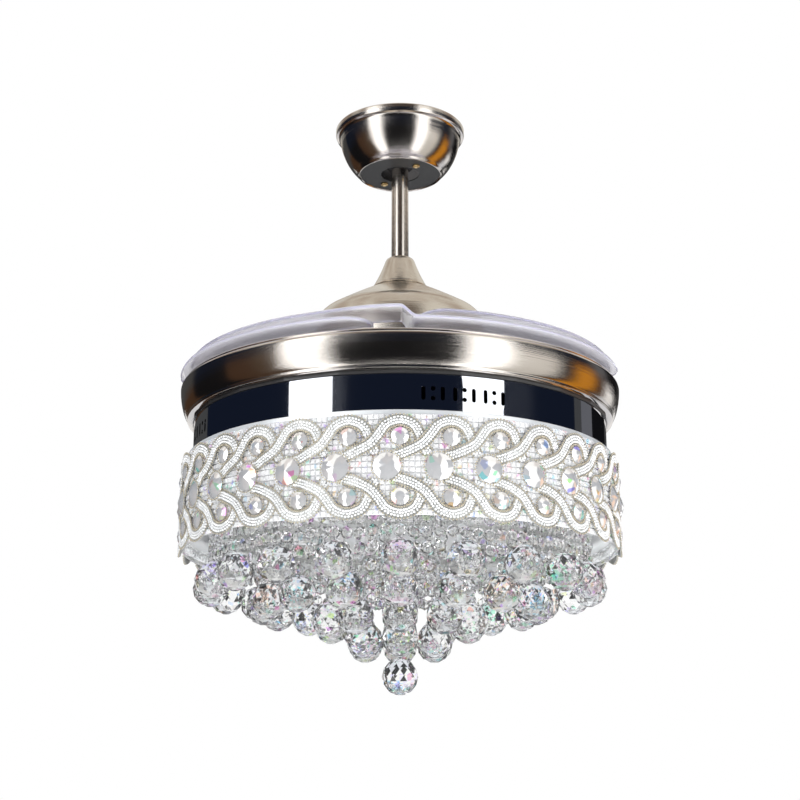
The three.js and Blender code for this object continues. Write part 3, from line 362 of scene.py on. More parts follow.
EDGE = 1.2                           # rounding of the blade's edges
EDGE_DEPTH, EDGE_LINE_R = 0.9, 0.5   # the line of violet light that runs inside each edge
stations = [
    *np.linspace(ROOT_END - ROUNDED, ROOT_END, 14, endpoint=False),
    *np.linspace(ROOT_END, STEP_START, 60, endpoint=False),
    *np.linspace(STEP_START, STEP_END, 12, endpoint=False),
    *np.linspace(STEP_END, TIP_END, 60, endpoint=False),
    *np.linspace(TIP_END, TIP_END + ROUNDED, 15),
]
for k, azimuth in enumerate(PIVOT_AZIMUTHS, 1):
    corners, faces = [], []
    for degrees in stations:
        inner, outer, under, camber = blade_section(degrees)
        width = outer - inner
        edge = min(EDGE, width / 4)
        across = [0, 0.02, edge / width, 0.2, 0.35, 0.5, 0.65, 0.8, 1 - edge / width, 0.98, 1]
        rise = [0.5, 0.85, 1, 1, 1, 1, 1, 1, 1, 0.85, 0.5]
        upper, lower = [], []
        for share, lift in zip(across, rise):
            reach, bow = inner + width * share, camber * 4 * share * (1 - share)
            upper.append((reach, under + BLADE_T * lift + bow))
            lower.append((reach, under + BLADE_T * (1 - lift) + bow))
        section = upper + lower[-2:0:-1]
        turn = math.radians(degrees + azimuth)
        corners += [(r * math.cos(turn), r * math.sin(turn), z) for r, z in section]
    count = len(section)
    for i in range(len(stations) - 1):
        faces += joined(i * count, (i + 1) * count, count)
    last = (len(stations) - 1) * count
    faces += [tuple(range(count))[::-1], tuple(range(last, last + count))]
    blade = mesh_piece(f"clear_blade_{k}", corners, faces, clear_blade, 50)
    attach(blade, f"blade_{k}_arm")
    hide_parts(f"blade_{k}")
    rim = []
    for degrees, side in [(d, 1) for d in stations[2:-2:2]] + [(d, 0) for d in stations[-3:1:-2]]:
        inner, outer, under, camber = blade_section(degrees)
        reach = outer - EDGE_DEPTH if side else inner + EDGE_DEPTH
        turn = math.radians(degrees + azimuth)
        rim.append((reach * math.cos(turn), reach * math.sin(turn), under + BLADE_T / 2))
    edge_line = tube(f"blade_edge_{k}", rim, EDGE_LINE_R, violet_edge, 8, closed=True)
    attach(edge_line, f"blade_{k}_arm")
    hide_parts(f"blade_{k}")

# ---------------------------------------------------------------- drum ring
# Rolled ring of brushed nickel round the drum's head, with a beaded lip on which the folded blades lie
# and a rolled foot.

ring_outline = [
    (240.4, -328.8), (243.6, -328.7), (245.0, -329.3), (245.4, -330.2), (244.9, -331.1), (245.3, -331.8),
    (246.7, -332.3), (247.6, -333.4), (248.0, -335.0),
    *bend((248.0, -335.0), (247.9, -346), (244.4, -357.5), 14),
    *bend((244.4, -357.5), (242.2, -363.8), (240.2, -365.2), 6),
    (239.9, -366.0), (240.3, -366.9), (240.0, -367.9), (238.8, -368.5), (225, -368.5),
]
ring = turned("ring", walled(ring_outline, 1.2), brushed_nickel, 256, 50)
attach(ring, "fan_body")
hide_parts("drum_ring")

# ---------------------------------------------------------------- drum
# Mirror-chromed drum wall. Four groups of vents are pierced through it, each of upright slots with
# two dots between them.

chrome = finish("chrome", (0.78, 0.8, 0.85), 1, 0.04, (2, 2, 2), 0.01)
DRUM_R, DRUM_TOP, DRUM_FOOT = 232, -372.1, -424.1
DRUM_WALL, DRUM_EDGE = 1.6, 0.6
TOP_FLANGE_R, FOOT_FLANGE_R = 222, 226
drum_profile = [
    (TOP_FLANGE_R, DRUM_TOP), (DRUM_R - DRUM_EDGE, DRUM_TOP), (DRUM_R, DRUM_TOP - DRUM_EDGE),
    (DRUM_R, DRUM_FOOT + DRUM_EDGE), (DRUM_R - DRUM_EDGE, DRUM_FOOT), (FOOT_FLANGE_R, DRUM_FOOT),
    (FOOT_FLANGE_R, DRUM_FOOT + DRUM_WALL), (DRUM_R - DRUM_WALL, DRUM_FOOT + DRUM_WALL),
    (DRUM_R - DRUM_WALL, DRUM_TOP - DRUM_WALL), (TOP_FLANGE_R, DRUM_TOP - DRUM_WALL),
]
drum = turned("drum_wall", drum_profile, chrome, 256)

DOT_R, DOT_RISE = 2.4, 5             # two dots, one over the other
SLOT_HALF, SLOT_RISE = 2.1, 5        # an upright slot's half width and half its straight height
SLOT_SHIFT, UNIT_PITCH = 9.7, 32     # a slot on each side of the dots, and the run from unit to unit
VENT_AZIMUTH, VENT_Z = 286, DRUM_TOP - 20


def vent_cutters():
    """Slot and dot punches that stand across the wall."""
    corners, faces = [], []
    round_dot = [(DOT_R * math.cos(t), DOT_R * math.sin(t)) for t in np.arange(16) * math.pi / 8]
    half_turn = np.linspace(0, math.pi, 9)
    slot_head = [(SLOT_HALF * math.cos(t), SLOT_RISE + SLOT_HALF * math.sin(t)) for t in half_turn]
    slot = slot_head + [(-x, -z) for x, z in slot_head]
    for group in range(4):
        for unit in (-1, 0, 1):
            middle = math.radians(VENT_AZIMUTH + 90 * group) + unit * UNIT_PITCH / DRUM_R
            for outline, shift, rise in (
                (slot, -SLOT_SHIFT, 0), (slot, SLOT_SHIFT, 0),
                (round_dot, 0, DOT_RISE), (round_dot, 0, -DOT_RISE),
            ):
                azimuth = middle + shift / DRUM_R
                out = np.array([math.cos(azimuth), math.sin(azimuth), 0])
                side = np.array([-out[1], out[0], 0])
                start, count = len(corners), len(outline)
                for reach in (DRUM_R - 8, DRUM_R + 8):
                    for x, z in outline:
                        corners.append(reach * out + x * side + np.array([0, 0, VENT_Z + rise + z]))
                faces.append(tuple(start + j for j in range(count))[::-1])
                faces.append(tuple(start + count + j for j in range(count)))
                faces += joined(start, start + count, count)
    return mesh_piece("vent_punches", corners, faces, chrome, 0)


punches = vent_cutters()
pierce = drum.modifiers.new("vents", "BOOLEAN")
pierce.object = punches
pierce.solver = "EXACT"
bpy.context.view_layer.update()
pierced = bpy.data.meshes.new_from_object(drum.evaluated_get(bpy.context.evaluated_depsgraph_get()))
drum.modifiers.clear()
drum.data = pierced
bpy.data.objects.remove(punches)
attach(drum, "fan_body")
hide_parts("drum")

# ---------------------------------------------------------------- light kit
# White pan with the ring of light behind the crystals, its driver above, and four steel spacers that
# carry the polished plate from which the crystals hang. A silvered collar closes the band's head.

white_plastic = finish("white_plastic", (0.8, 0.79, 0.76), 0, 0.35, (100, 100, 100), 0.03)
dress(white_plastic, "light_pan", "led_board")
dress(steel, *(f"frame_standoff_{k}" for k in range(1, 5)))
polished_plate = finish("polished_plate", (0.93, 0.94, 0.94), 0.5, 0.12, (40, 40, 40), 0.05)
dress(polished_plate, "crystal_frame")

COLLAR_BORE_R, COLLAR_R = 232.3, 238.2
collar_low, collar_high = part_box("band_collar")
collar_foot, collar_top = collar_low.z * 1000, collar_high.z * 1000
collar_profile = [
    (COLLAR_BORE_R, collar_top), (236.5, collar_top), (237.6, collar_top - 0.8), (COLLAR_R, collar_foot + 1),
    (COLLAR_R, collar_foot), (COLLAR_BORE_R, collar_foot),
]
collar_silver = finish("collar_silver", (0.7, 0.72, 0.73), 0.4, 0.3, (300, 300, 300), 0.05)
collar = turned("collar", collar_profile, collar_silver, 192)
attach(collar, "fan_body")
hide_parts("band_collar")

# ---------------------------------------------------------------- crystal band
# Band of looped straps set with rows of small stones between edges of beaded champagne wire. A round
# stone sits in the head and foot of each loop and a large one between the loops, and rows of clear
# square-cut stones back them.

crystal = finish(
    "crystal", (1, 1, 1), 0, 0.0, (60, 60, 60), 0.0, Transmission_Weight=0.5, IOR=1.6,
)


def with_fire(material, cell, most, rarer_than=0.5):
    """Painted glints of colour in cells of so many millimetres, standing in for the colours cut crystal
    splits light into. most is the strongest tint, and the share of cells with none is rarer_than."""
    tree = material.node_tree
    place = tree.nodes.new("ShaderNodeTexCoord")
    glints = tree.nodes.new("ShaderNodeTexVoronoi")
    glints.inputs["Scale"].default_value = 1000 / cell
    parts = tree.nodes.new("ShaderNodeSeparateColor")
    rare = tree.nodes.new("ShaderNodeMapRange")
    rare.inputs["From Min"].default_value = rarer_than
    rare.inputs["To Max"].default_value = most
    tint = tree.nodes.new("ShaderNodeCombineColor")
    tint.mode = "HSV"
    tint.inputs["Blue"].default_value = 1
    tree.links.new(place.outputs["Object"], glints.inputs["Vector"])
    tree.links.new(glints.outputs["Color"], parts.inputs["Color"])
    tree.links.new(parts.outputs["Green"], rare.inputs["Value"])
    tree.links.new(parts.outputs["Red"], tint.inputs["Red"])
    tree.links.new(rare.outputs["Result"], tint.inputs["Green"])
    tree.links.new(tint.outputs["Color"], tree.nodes["Principled BSDF"].inputs["Base Color"])
    return material


# The crystals and the stones' foil carry painted glints of colour for the crystal's fire.
fire_crystal = with_fire(finish(
    "fire_crystal", (1, 1, 1), 0, 0.0, (60, 60, 60), 0.0, Transmission_Weight=0.97, IOR=1.52,
), 5, 0.75, 0.88)
with_fire(crystal, 4, 0.4, 0.85)
champagne_wire = finish("champagne_wire", (0.82, 0.76, 0.62), 0.85, 0.2, (400, 400, 400), 0.02)
stone_setting = finish("stone_setting", (0.28, 0.28, 0.26), 0.4, 0.35, (300, 300, 300), 0.05)
rhinestone = finish("rhinestone", (0.98, 0.99, 0.99), 0.45, 0.1, (300, 300, 300), 0.0)
silvered = finish("silvered", (0.95, 0.95, 0.95), 0.1, 0.35, (300, 300, 300), 0.05)
cut_mirror = with_fire(finish("cut_mirror", (1, 1, 1), 0.72, 0.04, (300, 300, 300), 0.0), 7, 0.6, 0.85)

BAND_UNITS, BAND_R = 30, 241.0
PITCH = 2 * math.pi * BAND_R / BAND_UNITS


def on_band(u, z, out=0.0):
    """A place on the band: u along it from the front, z its height, out its height over the band."""
    azimuth = u / BAND_R - math.pi / 2
    return np.array([(BAND_R + out) * math.cos(azimuth), (BAND_R + out) * math.sin(azimuth), z])


def scatter(name, shape, places, material, flat_above=0):
    """Copies of one small shape as a single piece. A place is (point, right, up, out, size)."""
    corners, faces = shape
    corners = np.array(corners, float)
    points = []
    for point, right, up, out, size in places:
        axes = np.array([right, up, out])
        points.append(np.asarray(point) + size * corners @ axes)
    count = len(corners)
    copies = [tuple(i * count + j for j in face) for i in range(len(places)) for face in faces]
    return mesh_piece(name, np.concatenate(points), copies, material, flat_above)


def stacked(rings, sides, turns=None):
    """A cut shape from (radius, height) rings of corners, closed at both ends."""
    corners, faces = [], []
    for i, (radius, height) in enumerate(rings):
        shift = (turns[i] if turns else 0) * math.pi / sides
        corners += [
            (radius * math.cos(a + shift), radius * math.sin(a + shift), height)
            for a in np.arange(sides) * 2 * math.pi / sides
        ]
    for i in range(len(rings) - 1):
        a, b = i * sides, (i + 1) * sides
        skew = (turns[i + 1] - turns[i]) if turns else 0
        for j in range(sides):
            n = (j + 1) % sides
            if skew > 0:
                faces += [(a + j, a + n, b + j), (a + n, b + n, b + j)]
            elif skew < 0:
                faces += [(a + j, b + n, b + j), (a + j, a + n, b + n)]
            else:
                faces.append((a + j, a + n, b + n, b + j))
    faces += [tuple(range(sides))[::-1], tuple((len(rings) - 1) * sides + j for j in range(sides))]
    return corners, faces


def out_of_band(u):
    """The right, up and out directions of a stone at u."""
    azimuth = u / BAND_R - math.pi / 2
    out = np.array([math.cos(azimuth), math.sin(azimuth), 0])
    return np.array([-out[1], out[0], 0]), np.array([0, 0, 1.0]), out


def strap_line():
    """The middle line of a head loop's strap. It comes out from under the large stone on its left, goes
    over the round stone and dives under the next strap. The foot loop's is the same upside down."""
    knots = np.array([
        (-66, -461), (-57, -458.4), (-47, -455.2), (-37, -450.8), (-27.6, -445), (-20.6, -436.6),
        (-12.8, -426.6), (0, -422.3), (12.8, -426.6), (19.4, -437), (22.4, -447), (28, -456), (35, -461),
    ], float)
    fine = []
    for i in range(1, len(knots) - 2):
        p0, p1, p2, p3 = knots[i - 1:i + 3]
        for t in np.arange(12) / 12:
            fine.append(0.5 * (2 * p1 + (p2 - p0) * t + (2 * p0 - 5 * p1 + 4 * p2 - p3) * t**2
                               + (3 * p1 - p0 - 3 * p2 + p3) * t**3))
    return np.array(fine)


def along_line(line, pitch, offset=0.0, start=0.0):
    """Even places along a line, each set off to its left: (u, z, share of the way)."""
    steps = np.linalg.norm(np.diff(line, axis=0), axis=1)
    run = np.concatenate([[0], np.cumsum(steps)])
    marks = np.arange(start * pitch, run[-1], pitch)
    u, z = np.interp(marks, run, line[:, 0]), np.interp(marks, run, line[:, 1])
    slope = np.gradient(line, axis=0)
    slope /= np.linalg.norm(slope, axis=1)[:, None]
    du, dz = np.interp(marks, run, slope[:, 0]), np.interp(marks, run, slope[:, 1])
    return list(zip(u - dz * offset, z + du * offset, marks / run[-1]))


def strap_rise(share):
    """A strap rises from under the large stone, lies high on its long left leg and low on its right one,
    which goes under the next strap."""
    return STRAP_RISE * ease(share, 0.04, 0.14) - STRAP_RISE * min(max((share - 0.6) / 0.2, 0), 1)


def set_askew(axes, most):
    """The axes of a small stone that no setter's hand puts in quite straight."""
    right, up, out = axes
    lean = chance.uniform(-most, most, 2)
    out = out + lean[0] * right + lean[1] * up
    out = out / np.linalg.norm(out)
    right = np.cross(up, out)
    right = right / np.linalg.norm(right)
    return right, np.cross(out, right), out


MIRROR_Z = -936.9                    # the band's foot is its head upside down: z has its twin at this less z


def strap_place(unit, foot, u, z, out):
    """A place on the strap at the head or the foot of one of the band's units."""
    return on_band(u + unit * PITCH, MIRROR_Z - z if foot else z, out)


chance = np.random.default_rng(5)
STRAP_HALF, STRAP_RISE, STRAP_T, STRAP_STEP = 5.7, 2.4, 1.4, 2.6
STONE_ROWS, STONE_PITCH, STONE_SIZE = (-2.8, 0.0, 2.8), 2.9, 1.45
BEAD_PITCH, BEAD_RISE, BEAD_SIZE = 2.8, 0.4, 0.95
line = strap_line()
small_stone = stacked([(0.7, -0.2), (1, 0.3), (0.55, 0.9)], 6)
wire_bead = stacked([(0.45, -0.85), (1, -0.3), (1, 0.3), (0.45, 0.85)], 6)
stones, beads = [], []
straps, strap_faces = [], []
for k in range(BAND_UNITS):
    for foot in (False, True):
        for row in STONE_ROWS:
            for u, z, share in along_line(line, STONE_PITCH, row, 0.5 if row else 0.0):
                spot = strap_place(k, foot, u, z, strap_rise(share))
                stones.append((spot, *set_askew(out_of_band(u + k * PITCH), 0.6), STONE_SIZE))
        for side in (-STRAP_HALF, STRAP_HALF):
            for u, z, share in along_line(line, BEAD_PITCH, side):
                spot = strap_place(k, foot, u, z, strap_rise(share) + BEAD_RISE)
                beads.append((spot, *out_of_band(u + k * PITCH), BEAD_SIZE))
        base = len(straps)
        edges = [along_line(line, STRAP_STEP, side) for side in (-STRAP_HALF, STRAP_HALF)]
        count = min(map(len, edges))
        for i in range(count):
            for edge in edges:
                u, z, share = edge[i]
                for depth in (0.0, STRAP_T):
                    straps.append(strap_place(k, foot, u, z, strap_rise(share) - depth))
        for i in range(count - 1):
            a, b = base + 4 * i, base + 4 * (i + 1)
            for p, q in ((0, 2), (2, 3), (3, 1), (1, 0)):
                face = (a + p, a + q, b + q, b + p) if foot else (a + p, b + p, b + q, a + q)
                strap_faces.append(face)

band_pieces = [
    mesh_piece("band_straps", straps, strap_faces, stone_setting, 50),
    scatter("band_small_stones", small_stone, stones, rhinestone),
    scatter("band_wire_beads", wire_bead, beads, champagne_wire, 80),
]

CUT_TURNS = [0, 0, 0, 1, 2]
round_cut = stacked([(0.3, -0.45), (0.98, 0.0), (1, 0.1), (0.56, 0.34), (0.04, 0.44)], 12, CUT_TURNS)
large_cut = stacked([(0.3, -0.45), (0.98, -0.04), (1, 0.03), (0.6, 0.21), (0.04, 0.36)], 12, CUT_TURNS)
LARGE_R, LARGE_OUT, LARGE_U = 13.6, 2.2, -12.7
ROUND_R, ROUND_OUT, ROUND_Z = 8.8, 1.4, -438.5
RING_BEAD_SIZE, RING_GAP = 0.9, 1.2  # beads of the wire ring round each stone, and its way from the stone
large_places, round_places, ring_beads = [], [], []
for k in range(BAND_UNITS):
    for u, z, radius, out, places in (
        (k * PITCH + LARGE_U, MIRROR_Z / 2, LARGE_R, LARGE_OUT, large_places),
        (k * PITCH, ROUND_Z, ROUND_R, ROUND_OUT, round_places),
        (k * PITCH, MIRROR_Z - ROUND_Z, ROUND_R, ROUND_OUT, round_places),
    ):
        places.append((on_band(u, z, out), *out_of_band(u), radius))
        reach = radius + RING_GAP
        around = round(2 * math.pi * reach / BEAD_PITCH)
        for i in range(around):
            angle = i * 2 * math.pi / around
            spot = on_band(u + reach * math.cos(angle), z + reach * math.sin(angle), out + BEAD_RISE)
            ring_beads.append((spot, *out_of_band(u), RING_BEAD_SIZE))
band_pieces += [
    scatter("band_large_stones", large_cut, large_places, cut_mirror),
    scatter("band_round_stones", round_cut, round_places, cut_mirror),
    scatter("band_ring_beads", wire_bead, ring_beads, champagne_wire, 80),
]

# Square-cut stones in rows on a silvered ring fill what the straps leave open.
block = stacked([(0.9, -0.5), (1.0, -0.1), (1.0, 0.1), (0.6, 0.5)], 4, [1, 1, 1, 1])
BACKING_COLUMNS, BACKING_PITCH, BACKING_SIZE, BACKING_OUT = 260, 5.9, 4.0, -2.0
backing = []
for z in np.arange(-418.4, -517, -BACKING_PITCH):
    for i in range(BACKING_COLUMNS):
        u = i * 2 * math.pi * BAND_R / BACKING_COLUMNS
        backing.append((on_band(u, z, BACKING_OUT), *out_of_band(u), BACKING_SIZE))
band_pieces.append(scatter("band_backing", block, backing, crystal))
FOIL_R, FOIL_T, FOIL_TOP, FOIL_FOOT = 236.9, 0.5, -417, -512
foil_profile = [
    (FOIL_R - FOIL_T, FOIL_TOP), (FOIL_R, FOIL_TOP), (FOIL_R, FOIL_FOOT), (FOIL_R - FOIL_T, FOIL_FOOT),
]
band_pieces.append(turned("band_silvered_ring", foil_profile, silvered))

# Larger ones line the ring's inner face, each row half a stone on from the last. They show from below.
LINING_COLUMNS, LINING_PITCH, LINING_SIZE, LINING_OUT = 150, 9.0, 4.6, -5.2
inner_stones = []
for z in np.arange(-428, -510, -LINING_PITCH):
    for i in range(LINING_COLUMNS):
        u = (i + 0.5 * (round(z / LINING_PITCH) % 2)) * 2 * math.pi * BAND_R / LINING_COLUMNS
        right, up, out = out_of_band(u)
        axes = set_askew((-right, up, -out), 0.5)
        inner_stones.append((on_band(u, z, LINING_OUT), *axes, LINING_SIZE))
band_pieces.append(scatter("band_inner_stones", block, inner_stones, rhinestone))
for piece in band_pieces:
    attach(piece, "fan_body")
    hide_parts("crystal_band")

# ---------------------------------------------------------------- hanging crystals
# Rings of strands that hang from the frame: two flat octagon beads and a faceted 40 mm ball on each
# steel wire, with short strands of beads alone between the balls, and one long drop in the middle.

strand_wire = finish("strand_wire", (0.6, 0.6, 0.6), 1, 0.25, (300, 300, 300), 0.02)
BALL_R, BALL_CUTS = 20, 7
ball_rows, ball_turns = [], []
for i in range(BALL_CUTS):
    lift = math.radians(-90 + 180 * (i + 0.45) / (BALL_CUTS - 0.1))
    ball_rows.append((BALL_R * math.cos(lift), BALL_R * math.sin(lift)))
    ball_turns.append(i % 2)
cut_ball = stacked(ball_rows, 10, ball_turns)
octagon = stacked([(3.6, -2.6), (6.6, -0.6), (6.6, 0.6), (3.6, 2.6)], 8)
BALL_TO_BEAD, BEAD_STEP, WIRE_TAIL = 27, 15.5, 7
hook_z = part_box("crystal_frame")[0].z * 1000
TIERS = (                            # node, ring's radius, number of balls and the balls' height
    ("crystal_tier_outer", 209, 20, -552),
    ("crystal_tier_second", 150, 16, -572),
    ("crystal_tier_third", 80, 10, -590),
    ("crystal_tier_inner", 44, 6, -611),
)
random.seed(7)


def strand(x, y, low, top, radius=0.3, sides=6):
    """A thin wire from low to top."""
    corners = [
        (x + radius * math.cos(a), y + radius * math.sin(a), z)
        for z in (low, top) for a in np.arange(sides) * 2 * math.pi / sides
    ]
    return corners, joined(0, sides, sides)


def hang(name, node, strands):
    """The balls, beads and wires of one ring. A strand is (x, y, ball height or None, bead heights)."""
    balls, flats, wire_corners, wire_faces = [], [], [], []
    for x, y, ball, bead_heights in strands:
        turn = random.uniform(0, math.pi)
        if ball is not None:
            right = np.array([math.cos(turn), math.sin(turn), 0])
            balls.append(((x, y, ball), right, np.array([-right[1], right[0], 0]), np.array([0, 0, 1.0]), 1))
        for z in bead_heights:
            facing = math.atan2(y, x) + random.uniform(-0.5, 0.5) if (x or y) else -math.pi / 2
            out = np.array([math.cos(facing), math.sin(facing), 0])
            flats.append(((x, y, z), np.array([-out[1], out[0], 0]), np.array([0, 0, 1.0]), out, 1))
        corners, faces = strand(x, y, min(bead_heights) - WIRE_TAIL, hook_z)
        start = len(wire_corners)
        wire_corners += corners
        wire_faces += [tuple(start + j for j in face) for face in faces]
    made = [
        scatter(name + "_beads", octagon, flats, fire_crystal),
        mesh_piece(name + "_wires", wire_corners, wire_faces, strand_wire, 80),
    ]
    if balls:
        made.append(scatter(name + "_balls", cut_ball, balls, fire_crystal))
    for piece in made:
        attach(piece, "fan_body")
        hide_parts(node)


# Strands of beads alone between two balls: share of the way from ball to ball, and drop of the lowest bead.
SHORT_STRANDS = {
    "crystal_tier_outer": ((0.2, 24), (0.4, 40), (0.6, 38), (0.8, 22)),
    "crystal_tier_second": ((0.27, 30), (0.5, 48), (0.73, 34)),
    "crystal_tier_third": ((0.33, 34), (0.67, 50)),
    "crystal_tier_inner": ((0.5, 60),),
}
for node, radius, count, ball_z in TIERS:
    strands = []
    for i in range(count):
        azimuth = 2 * math.pi * i / count - math.pi / 2
        bead_heights = [ball_z + BALL_TO_BEAD, ball_z + BALL_TO_BEAD + BEAD_STEP]
        strands.append((radius * math.cos(azimuth), radius * math.sin(azimuth), ball_z, bead_heights))
        for share, drop in SHORT_STRANDS[node]:
            between = azimuth + share * 2 * math.pi / count
            heights = list(np.arange(hook_z - drop, hook_z - 4, BEAD_STEP))
            strands.append((radius * math.cos(between), radius * math.sin(between), None, heights))
    hang(node + "_strands", node, strands)
DROP_Z = -648
hang("centre_strand", "centre_drop", [(0, 0, DROP_Z, [DROP_Z + 26.5, DROP_Z + 42])])

# ---------------------------------------------------------------- studio
# Plain pale floor and white surroundings. Cards that reflections see, and some of them the clear pieces
# too, stand round the fan, so that metal and glass have bright and dark patches to show. The camera is
# at the photograph's view.


def plain(name, colour, strength=None):
    """A stage material: matt paint, or an even glow of the given strength."""
    material = bpy.data.materials.new(name)
    material.use_nodes = True
    nodes, links = material.node_tree.nodes, material.node_tree.links
    shader = nodes["Principled BSDF"]
    shader.inputs["Base Color"].default_value = (*colour, 1)
    shader.inputs["Roughness"].default_value = 0.8
    if strength is not None:
        glow = nodes.new("ShaderNodeEmission")
        glow.inputs["Color"].default_value = (*colour, 1)
        glow.inputs["Strength"].default_value = strength
        links.new(glow.outputs["Emission"], nodes["Material Output"].inputs["Surface"])
    return material


FLOOR_Z, FLOOR_HALF = -2400, 9000
floor_corners = [(x * FLOOR_HALF, y * FLOOR_HALF, FLOOR_Z) for x, y in ((-1, -1), (1, -1), (1, 1), (-1, 1))]
floor = mesh_piece("floor", floor_corners, [(0, 1, 2, 3)], plain("pale_floor", (0.86, 0.86, 0.86)), 0)

DARK, NAVY, WHITE = (0.006, 0.006, 0.007), (0.007, 0.01, 0.02), (1.7, 1.7, 1.7)
GREY, DIM, BEIGE = (0.66, 0.64, 0.6), (0.06, 0.06, 0.06), (0.72, 0.69, 0.63)
AMBER, RUST, DUSK = (0.6, 0.24, 0.02), (0.07, 0.045, 0.028), (0.12, 0.09, 0.07)
BROWN, UMBER, STEEL = (0.06, 0.032, 0.018), (0.42, 0.35, 0.29), (0.13, 0.13, 0.14)
LEFT_TO_RIGHT = (
    # Left edge in degrees round from the front, and the tones below, level with and above the fan.
    (-180, BEIGE, DIM, BEIGE), (-174, BEIGE, DIM, GREY), (-167, BEIGE, DIM, UMBER),
    (-160, BEIGE, DIM, BEIGE), (-150, BROWN, DIM, GREY), (-125, DARK, NAVY, UMBER),
    (-92, BROWN, NAVY, BEIGE), (-74, RUST, NAVY, UMBER), (-58, WHITE, WHITE, BEIGE),
    (-34, DARK, NAVY, DUSK), (-22, DARK, NAVY, DUSK),
    (14, DARK, NAVY, DUSK), (31, WHITE, WHITE, BEIGE), (54, GREY, NAVY, BEIGE), (82, DARK, NAVY, UMBER),
    (94, AMBER, NAVY, UMBER), (104, AMBER, DIM, UMBER), (111, BROWN, STEEL, BEIGE),
    (124, DIM, DARK, BEIGE), (150, BEIGE, DIM, BEIGE), (163, BEIGE, DIM, UMBER),
    (168, BEIGE, DIM, BEIGE), (173, BEIGE, DIM, UMBER), (177, BEIGE, DIM, BEIGE),
    (180, None, None, None),
)
CARD_R, CARD_Z = 2000, -350
LEVELS = ((-62, 8), (8, 28), (28, 54))
CROWN, UNDER = (54, 86), (-84, -62)
LOW_FROM, LOW_TO = -150, 124         # the lowest level has cards only between these turns
SEEN_FROM, SEEN_TO = -125, 124       # and clear pieces show cards of any level between these
CROWN_STREAKS = (-180, -150, -118, -96, -70, -52, -30, -17, -4, 9, 20, 34, 52, 74, 90, 112, 150, 180)


def studio_card(name, turns, lifts, tone, through=False):
    """A patch of a sphere round the fan that glows evenly. Reflections see it, and clear pieces show it
    if it is through."""
    around = np.radians(np.linspace(*turns, 7) - 90)
    up = np.radians(np.linspace(*lifts, 7))
    corners = []
    for azimuth in around:
        for lift in up:
            reach, rise = CARD_R * math.cos(lift), CARD_R * math.sin(lift)
            corners.append((reach * math.cos(azimuth), reach * math.sin(azimuth), CARD_Z + rise))
    faces = [
        (7 * i + j, 7 * i + 7 + j, 7 * i + 8 + j, 7 * i + j + 1) for i in range(6) for j in range(6)
    ]
    card = mesh_piece(name, corners, faces, plain(name, tone, 1), 0)
    card.visible_camera = False
    card.visible_diffuse = False
    card.visible_transmission = through
    card.visible_shadow = False


for place, (start, *tones) in enumerate(LEFT_TO_RIGHT[:-1]):
    end = LEFT_TO_RIGHT[place + 1][0]
    for level, (lifts, tone) in enumerate(zip(LEVELS, tones)):
        if level == 0 and (start < LOW_FROM or start >= LOW_TO):
            continue                 # left white, for what shows of the fan's underside
        seen_through = start >= SEEN_FROM and end <= SEEN_TO and tone in (DARK, NAVY, WHITE, BROWN)
        studio_card(f"card_{place}_{level}", (start, end), lifts, tone, seen_through)
BACK_TURNS, BACK_LIFTS = ((-172, -161), (-147, -137), (137, 147), (161, 172)), (-34, 8)
UNDER_TURNS = ((-125, -60), (-60, 0), (0, 60), (60, 124))
for place, turns in enumerate(BACK_TURNS):
    studio_card(f"back_card_{place}", turns, BACK_LIFTS, DARK, True)
for place, turns in enumerate(UNDER_TURNS):
    studio_card(f"low_card_{place}", turns, UNDER, DIM)
for place in range(len(CROWN_STREAKS) - 1):
    tone = UMBER if place % 2 else BEIGE
    studio_card(f"crown_card_{place}", CROWN_STREAKS[place:place + 2], CROWN, tone)

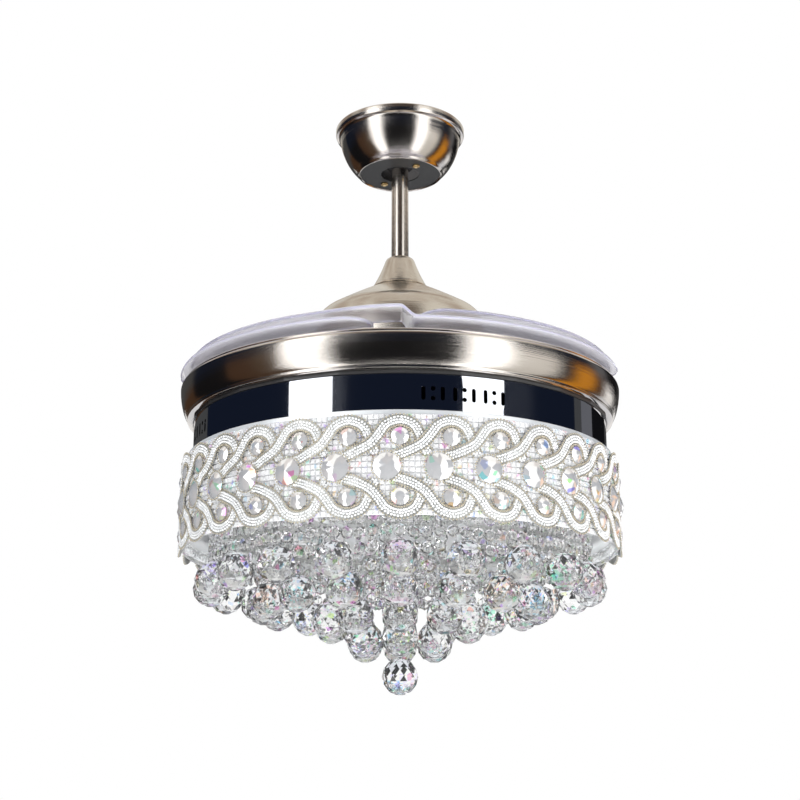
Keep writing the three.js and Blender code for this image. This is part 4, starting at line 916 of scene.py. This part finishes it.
world = bpy.data.worlds.new("studio")
bpy.context.scene.world = world
world.use_nodes = True
nodes, links = world.node_tree.nodes, world.node_tree.links
nodes.clear()
ambient = nodes.new("ShaderNodeBackground")
ambient.inputs["Color"].default_value = (0.9, 0.93, 1, 1)
ambient.inputs["Strength"].default_value = 0.9
seen = nodes.new("ShaderNodeBackground")
seen.inputs["Color"].default_value = (1, 1, 1, 1)
seen.inputs["Strength"].default_value = 1
rays = nodes.new("ShaderNodeLightPath")
camera_or_glossy = nodes.new("ShaderNodeMath")
camera_or_glossy.operation = "MAXIMUM"
any_seen = nodes.new("ShaderNodeMath")
any_seen.operation = "MAXIMUM"
choose = nodes.new("ShaderNodeMixShader")
output = nodes.new("ShaderNodeOutputWorld")
links.new(rays.outputs["Is Camera Ray"], camera_or_glossy.inputs[0])
links.new(rays.outputs["Is Glossy Ray"], camera_or_glossy.inputs[1])
links.new(camera_or_glossy.outputs[0], any_seen.inputs[0])
links.new(rays.outputs["Is Transmission Ray"], any_seen.inputs[1])
links.new(any_seen.outputs[0], choose.inputs["Fac"])
links.new(ambient.outputs[0], choose.inputs[1])
links.new(seen.outputs[0], choose.inputs[2])
links.new(choose.outputs[0], output.inputs["Surface"])


def lamp(name, place, size, power, aim=(0, 0, -0.4)):
    """A soft square lamp aimed at the fan."""
    light = bpy.data.lights.new(name, "AREA")
    light.size = size
    light.energy = power
    holder = bpy.data.objects.new(name, light)
    holder.location = place
    towards = np.array(aim) - np.array(place)
    tilt = math.atan2(math.hypot(towards[0], towards[1]), -towards[2])
    holder.rotation_euler = (tilt, 0, math.atan2(towards[1], towards[0]) - math.pi / 2)
    bpy.context.scene.collection.objects.link(holder)
    return holder


lamp("key_lamp", (-2.3, -2.4, 0.9), 1.8, 75)
lamp("fill_lamp", (2.5, -1.8, -0.2), 2.0, 50)
lamp("under_lamp", (0.3, -1.2, -2.2), 1.6, 72)

camera = bpy.data.cameras.new("camera")
camera.sensor_width = 36
camera.lens = 67.05
camera_holder = bpy.data.objects.new("camera", camera)
camera_holder.location = (0, -1.642, -0.7895)
camera_holder.rotation_euler = (math.radians(105.45), 0, 0)
bpy.context.scene.collection.objects.link(camera_holder)
bpy.context.scene.camera = camera_holder
bpy.context.scene.view_settings.view_transform = "Standard"
